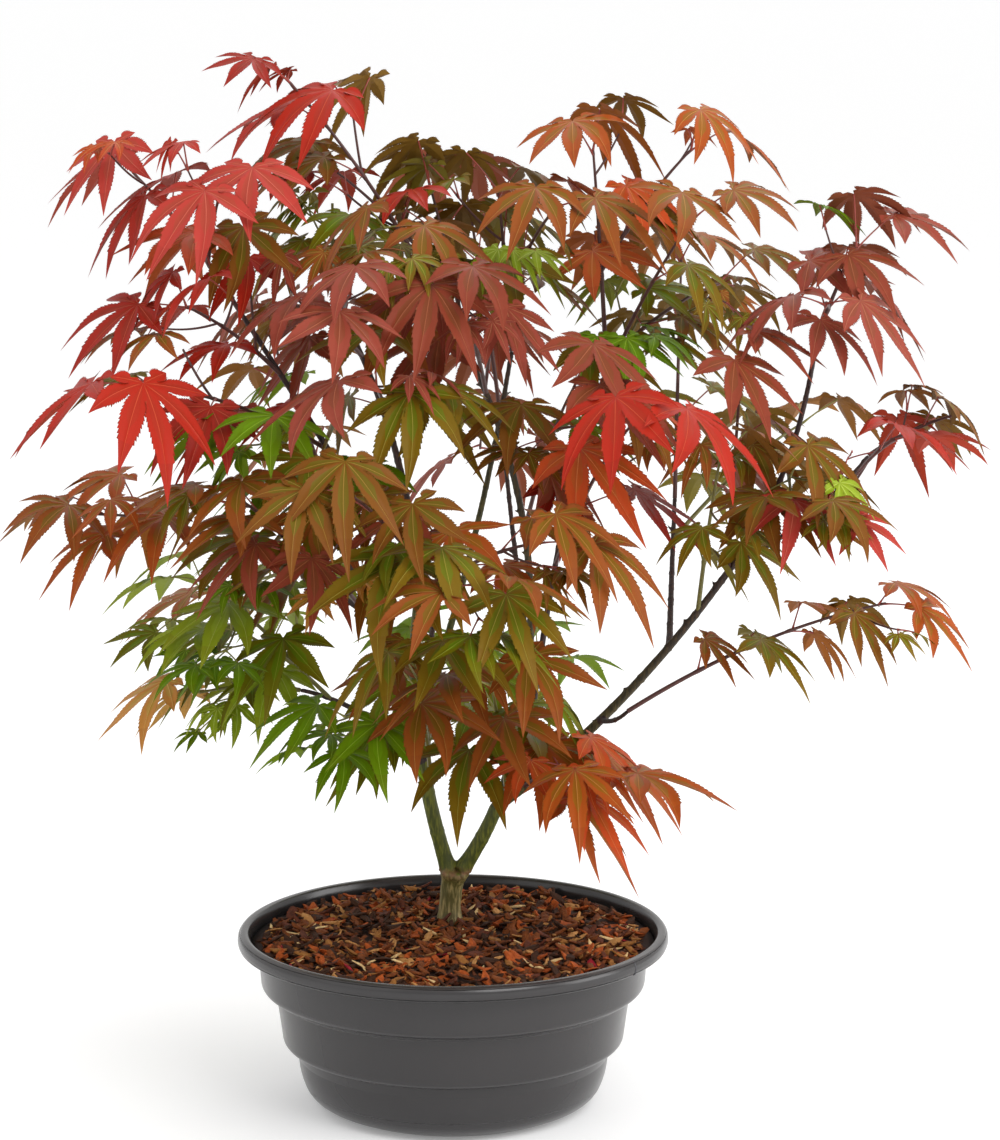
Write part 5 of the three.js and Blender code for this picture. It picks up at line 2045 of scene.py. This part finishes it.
    def put(self, leaf: Leaf, paint: str, row: MassRow, index: int, room: Room, draw: SeededDraw) -> bool:
        """Places one leaf with its stalk, if it finds a clear place.

        Args:
            leaf: The leaf as drawn by the rule.
            paint: The name of its paint.
            row: The mass that it grows in.
            index: The mass's place in the list.
            room: The space that it has to keep to.
            draw: The numbers for its own unevenness.

        Returns:
            Whether it was placed.
        """
        frame_of = self.clear_turn(leaf, index, room)
        if frame_of is None:
            return False
        points = self.whole.drawn_in(self.shape.points(frame_of, draw), frame_of.hub)
        self.heaps[paint].add(points, f"leaves_{row.name}")
        self.stalks.append((self.stalk(leaf, frame_of), row.tint))
        return True

    def plan_finer(self, row: MassRow, index: int,
                   shoots: Sequence[Twig]) -> list[tuple[float, Twig, list[Leaf]]]:
        """The finer twigs of one mass.

        Args:
            row: The mass.
            index: Its place in the list.
            shoots: The shoots that they grow from.

        Returns:
            For each twig the share of the shoot where it stands, the twig and its leaves.
        """
        rule = self.growth
        draw = SeededDraw(rule.finer_seed + 53 * index)
        made = []
        for k in range(row.finer * len(shoots)):
            bend = shoots[k % len(shoots)].bend
            share = draw.span(*rule.finer_from)
            node, tangent = bend.point(share), bend.tangent(share)
            side = tangent.cross(UP).normalized()
            angle = draw.span(0.0, 2 * math.pi)
            out = side * math.cos(angle) + side.cross(tangent) * rule.finer_flat * math.sin(angle)
            lift = UP * draw.span(*rule.finer_upward)
            direction = (tangent * rule.finer_ahead + out * rule.finer_aside + lift).normalized()
            length = draw.span(*rule.finer_length)
            end = node + direction * length
            middle = node.lerp(end, 0.5) - UP * rule.lift * length
            radii = (rule.finer_radius, rule.finer_radius * rule.finer_taper)
            twig = Twig(Bend(node, middle, end), radii)
            size = row.leaf * draw.span(*rule.finer_leaf)
            leaves = []
            for spread in rule.finer_spreads[: 3 if draw() < rule.finer_third else 2]:
                way = direction.copy()
                way.rotate(Matrix.Rotation(spread, 3, UP))
                leaves.append(self.plan_leaf(draw, twig.bend.point(rule.finer_root), way, size, k))
            made.append((share, twig, leaves))
        return made

    def grow_finer(self, row: MassRow, index: int, shoots: Sequence[Twig]) -> None:
        """Places the finer twigs of one mass that have a clear leaf.

        Args:
            row: The mass.
            index: Its place in the list.
            shoots: The shoots that they grow from.
        """
        draw = SeededDraw(self.deal_seed + 1000 + 17 * index)
        room = room_of(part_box(f"leaves_{row.name}"), self.growth.finer_margin)
        for share, twig, leaves in self.plan_finer(row, index, shoots):
            dealt = DEALT_INSIDE if share < self.inside_share else DEALT
            paint = str(draw.pick(dealt[row.tint]))
            if sum(self.put(leaf, paint, row, index, room, draw) for leaf in leaves):
                self.twigs.append((twig, row.tint))

    def grow(self) -> None:
        """Lays out every mass and gathers its leaves, twigs and stalks."""
        plans = [self.plan_mass(row, index) for index, row in enumerate(MASS_ROWS)]
        self.take_up_limbs(plans)
        for index, (row, (twigs, leaves)) in enumerate(zip(MASS_ROWS, plans)):
            draw = SeededDraw(self.deal_seed + 17 * index)
            tips = self.tip_sprays(row)
            paints: dict[int, str] = {}
            self.twigs += [(twig, row.tint) for twig in twigs]
            for leaf in leaves:
                if leaf.spray not in paints:
                    dealt = DEALT_TIPS if leaf.spray in tips else DEALT
                    paints[leaf.spray] = str(draw.pick(dealt[row.tint]))
                self.put(leaf, paints[leaf.spray], row, index, self.whole, draw)
        for index, (row, (twigs, _)) in enumerate(zip(MASS_ROWS, plans)):
            self.grow_finer(row, index, [twig for twig in twigs if twig.pairs])

    def tip_sprays(self, row: MassRow) -> set[int]:
        """The numbers of the sprays at the tips of a mass's shoots."""
        ends, total = set(), 0
        for *_, pairs in row.shoots:
            total += pairs
            ends.add(total - 1)
        return ends

    def stalk(self, leaf: Leaf, frame_of: BladeFrame) -> Bend:
        """A leaf's stalk: it arches a little, under the top of the box, and meets the blade at its hub."""
        middle = leaf.point.lerp(frame_of.hub, 0.55) + UP * 0.07 * leaf.stalk
        end = frame_of.hub - frame_of.forward * 0.2
        top = self.whole.high[2] - 2 * self.stalk_radius
        middle.z, end.z = min(middle.z, top), min(end.z, top)
        return Bend(leaf.point, middle, end)

    def path_mesh(self, lines: Sequence[tuple[Bend, RadiusAt, int]]) -> Mesh:
        """Lines as a mesh of edges, with a radius at each vertex, in metres.

        Args:
            lines: The bend, the radius along it and the number of steps of each line.

        Returns:
            The mesh.
        """
        points, edges, radii = [], [], []
        for bend, radius_at, steps in lines:
            first = len(points)
            for step in range(steps + 1):
                share = step / steps
                points.append(tuple(bend.point(share) * MM))
                radii.append(radius_at(share) * MM)
            edges += [(first + step, first + step + 1) for step in range(steps)]
        mesh = bpy.data.meshes.new("paths")
        mesh.from_pydata(points, edges, [])
        mesh.attributes.new("thickness", "FLOAT", "POINT").data.foreach_set("value", radii)
        return mesh

    def tube_tree(self) -> Tree:
        """The tree that makes closed tubes along paths.

        Returns:
            A tree with inputs Geometry, Sides, Material; the radius is read from each vertex.
        """
        inputs = (("Geometry", "Geometry"), ("Sides", "Int"), ("Material", "Material"))
        tree, entry, leave = new_tree("tubes_along_paths", "Geometry", inputs, "Geometry")
        curve = tree.put("GeometryNodeMeshToCurve", Mesh=entry.outputs["Geometry"])
        sides = entry.outputs["Sides"]
        circle = tree.put("GeometryNodeCurvePrimitiveCircle", Resolution=sides, Radius=1.0)
        radius = tree.add("GeometryNodeInputNamedAttribute", data_type="FLOAT")
        radius.inputs["Name"].default_value = "thickness"
        tube = tree.put("GeometryNodeCurveToMesh", Curve=curve.outputs["Curve"], Fill_Caps=True)
        tree.feed(tube, Profile_Curve=circle.outputs["Curve"], Scale=radius.outputs["Attribute"])
        smooth = tree.put("GeometryNodeSetShadeSmooth", Geometry=tube.outputs["Mesh"])
        tree.end(smooth.outputs["Geometry"], entry.outputs["Material"], leave)
        return tree.tree

    def build(self) -> list[Piece]:
        """Every piece of foliage, handed to the frame.

        Returns:
            The leaves of each paint, then the twigs and the stalks of each wood.
        """
        self.grow()
        pieces = [heap.build() for heap in self.heaps.values() if heap.blades]
        tree = self.tube_tree()
        for wood in WOODS:
            twigs = [twig for twig, tint in self.twigs if tint in wood.tints]
            counts = [max(4, round(twig.bend.length() / self.shoot_step)) for twig in twigs]
            shoots = [(twig.bend, self.twig_radius(twig), count) for twig, count in zip(twigs, counts)]
            bends = [bend for bend, tint in self.stalks if tint in wood.tints]
            stalks = [(bend, self.stalk_thickness, self.stalk_steps) for bend in bends]
            values = {"Sides": self.shoot_sides, "Material": wood.twig_finish.material()}
            pieces.append(self.tubes(wood.twigs, tree, values, shoots))
            values = {"Sides": self.stalk_sides, "Material": wood.stalk_finish.material()}
            pieces.append(self.tubes(wood.stalks, tree, values, stalks))
        return pieces

    def tubes(self, name: str, tree: Tree, values: dict[str, object], lines: Sequence) -> Piece:
        """Tubes along lines as one piece that stands for part of every mass."""
        mesh = run_tree(name, self.path_mesh(lines), tree, values)
        return finished(name, mesh, [f"leaves_{row.name}" for row in MASS_ROWS])

    def twig_radius(self, twig: Twig) -> RadiusAt:
        """The radius along a twig, with a swelling at each pair of leaves."""
        length = twig.bend.length()

        def radius_at(share: float) -> float:
            """The radius at a share of the twig."""
            offs = [(share - pair) * length / self.swelling_length for pair in twig.pairs]
            swell = min(1.0, sum(math.exp(-(off**2)) for off in offs))
            return mix(twig.radii, share) * (1 + self.swelling * swell)

        return radius_at

    def stalk_thickness(self, share: float) -> float:
        """The radius along a stalk, thicker where it stands on its twig."""
        return self.stalk_radius * (1 + 0.9 * math.exp(-share * 9) + 0.25 * max(0.0, share - 0.85) / 0.15)


# -------- studio


@dataclass(frozen=True)
class Softbox:
    """A square soft lamp: where it stands, its width in metres and its power in watts."""

    name: str
    place: Spot
    width: float
    power: float


@dataclass
class Studio:
    """A pale floor, soft light and the camera. Lengths in metres."""

    floor_half: float = 160.0
    floor_glow: float = 0.185
    sky_strength: float = 0.86
    camera_place: Spot = (0.0305, -2.2, 0.726)
    camera_pitch: float = -9.66
    focal: float = 110.2
    sensor: float = 36.0
    aim: Spot = (0.0, 0.0, 0.35)
    softboxes: tuple[Softbox, ...] = (
        Softbox("key_softbox", (1.3, -2.1, 2.3), 1.6, 36.0),
        Softbox("side_softbox", (2.3, -0.5, 0.9), 1.3, 20.0),
        Softbox("fill_softbox", (-2.2, -1.6, 1.5), 2.2, 5.0),
        Softbox("back_softbox", (0.6, 2.2, 2.2), 2.0, 12.0),
    )

    def build(self) -> None:
        """Makes the floor, the sky, the lamps and the camera."""
        self.floor()
        self.sky()
        for softbox in self.softboxes:
            self.lamp(softbox)
        self.camera()

    def floor(self) -> None:
        """The pale floor."""
        half = self.floor_half / MM
        corners = [(-half, -half, 0.0), (half, -half, 0.0), (half, half, 0.0), (-half, half, 0.0)]
        mesh = mesh_of("floor", corners, [(0, 1, 2, 3)])
        material, _, shader = new_material("floor_white", 0.9, 0.1)
        shader.inputs["Base Color"].default_value = (0.94, 0.94, 0.94, 1.0)
        shader.inputs["Emission Color"].default_value = (1.0, 1.0, 1.0, 1.0)
        shader.inputs["Emission Strength"].default_value = self.floor_glow
        mesh.materials.append(material)
        new_object("floor", mesh)

    def sky(self) -> None:
        """Even soft light from all round, in front of a white backdrop."""
        world = bpy.data.worlds.new("studio_sky")
        world.use_nodes = True
        tree = Wiring(world.node_tree)
        light = world.node_tree.nodes["Background"]
        light.inputs["Color"].default_value = (1.0, 1.0, 1.0, 1.0)
        light.inputs["Strength"].default_value = self.sky_strength
        backdrop = tree.add("ShaderNodeBackground")
        backdrop.inputs["Color"].default_value = (1.0, 1.0, 1.0, 1.0)
        chosen = tree.add("ShaderNodeMixShader")
        tree.link(tree.add("ShaderNodeLightPath").outputs["Is Camera Ray"], chosen.inputs[0])
        tree.link(light.outputs[0], chosen.inputs[1])
        tree.link(backdrop.outputs[0], chosen.inputs[2])
        tree.link(chosen.outputs[0], world.node_tree.nodes["World Output"].inputs["Surface"])
        bpy.context.scene.world = world

    def lamp(self, softbox: Softbox) -> None:
        """Stands a soft lamp so that it faces the middle of the crown."""
        data = bpy.data.lights.new(softbox.name, "AREA")
        data.size = softbox.width
        data.energy = softbox.power
        lamp = bpy.data.objects.new(softbox.name, data)
        lamp.location = softbox.place
        away = Vector(softbox.place) - Vector(self.aim)
        lamp.rotation_euler = away.to_track_quat("Z", "Y").to_euler()
        bpy.context.scene.collection.objects.link(lamp)

    def camera(self) -> None:
        """The camera, in front and a little above, looking slightly down."""
        data = bpy.data.cameras.new("camera")
        data.lens = self.focal
        data.sensor_width = self.sensor
        data.clip_end = 1000.0
        camera = bpy.data.objects.new("camera", data)
        camera.location = self.camera_place
        camera.rotation_euler = (math.radians(90 + self.camera_pitch), 0.0, 0.0)
        bpy.context.scene.collection.objects.link(camera)
        bpy.context.scene.camera = camera


def main() -> None:
    """Builds the studio, the bowl, the mulch, the limbs and the foliage, in that order."""
    logging.basicConfig(level=logging.INFO, format="%(name)s: %(message)s")
    bpy.context.scene.view_settings.view_transform = "Standard"
    Studio().build()
    Bowl().build()
    Mulch().build()
    skeleton = Skeleton()
    skeleton.build()
    Foliage(skeleton.limbs()).build()


if __name__ == "__main__":
    main()
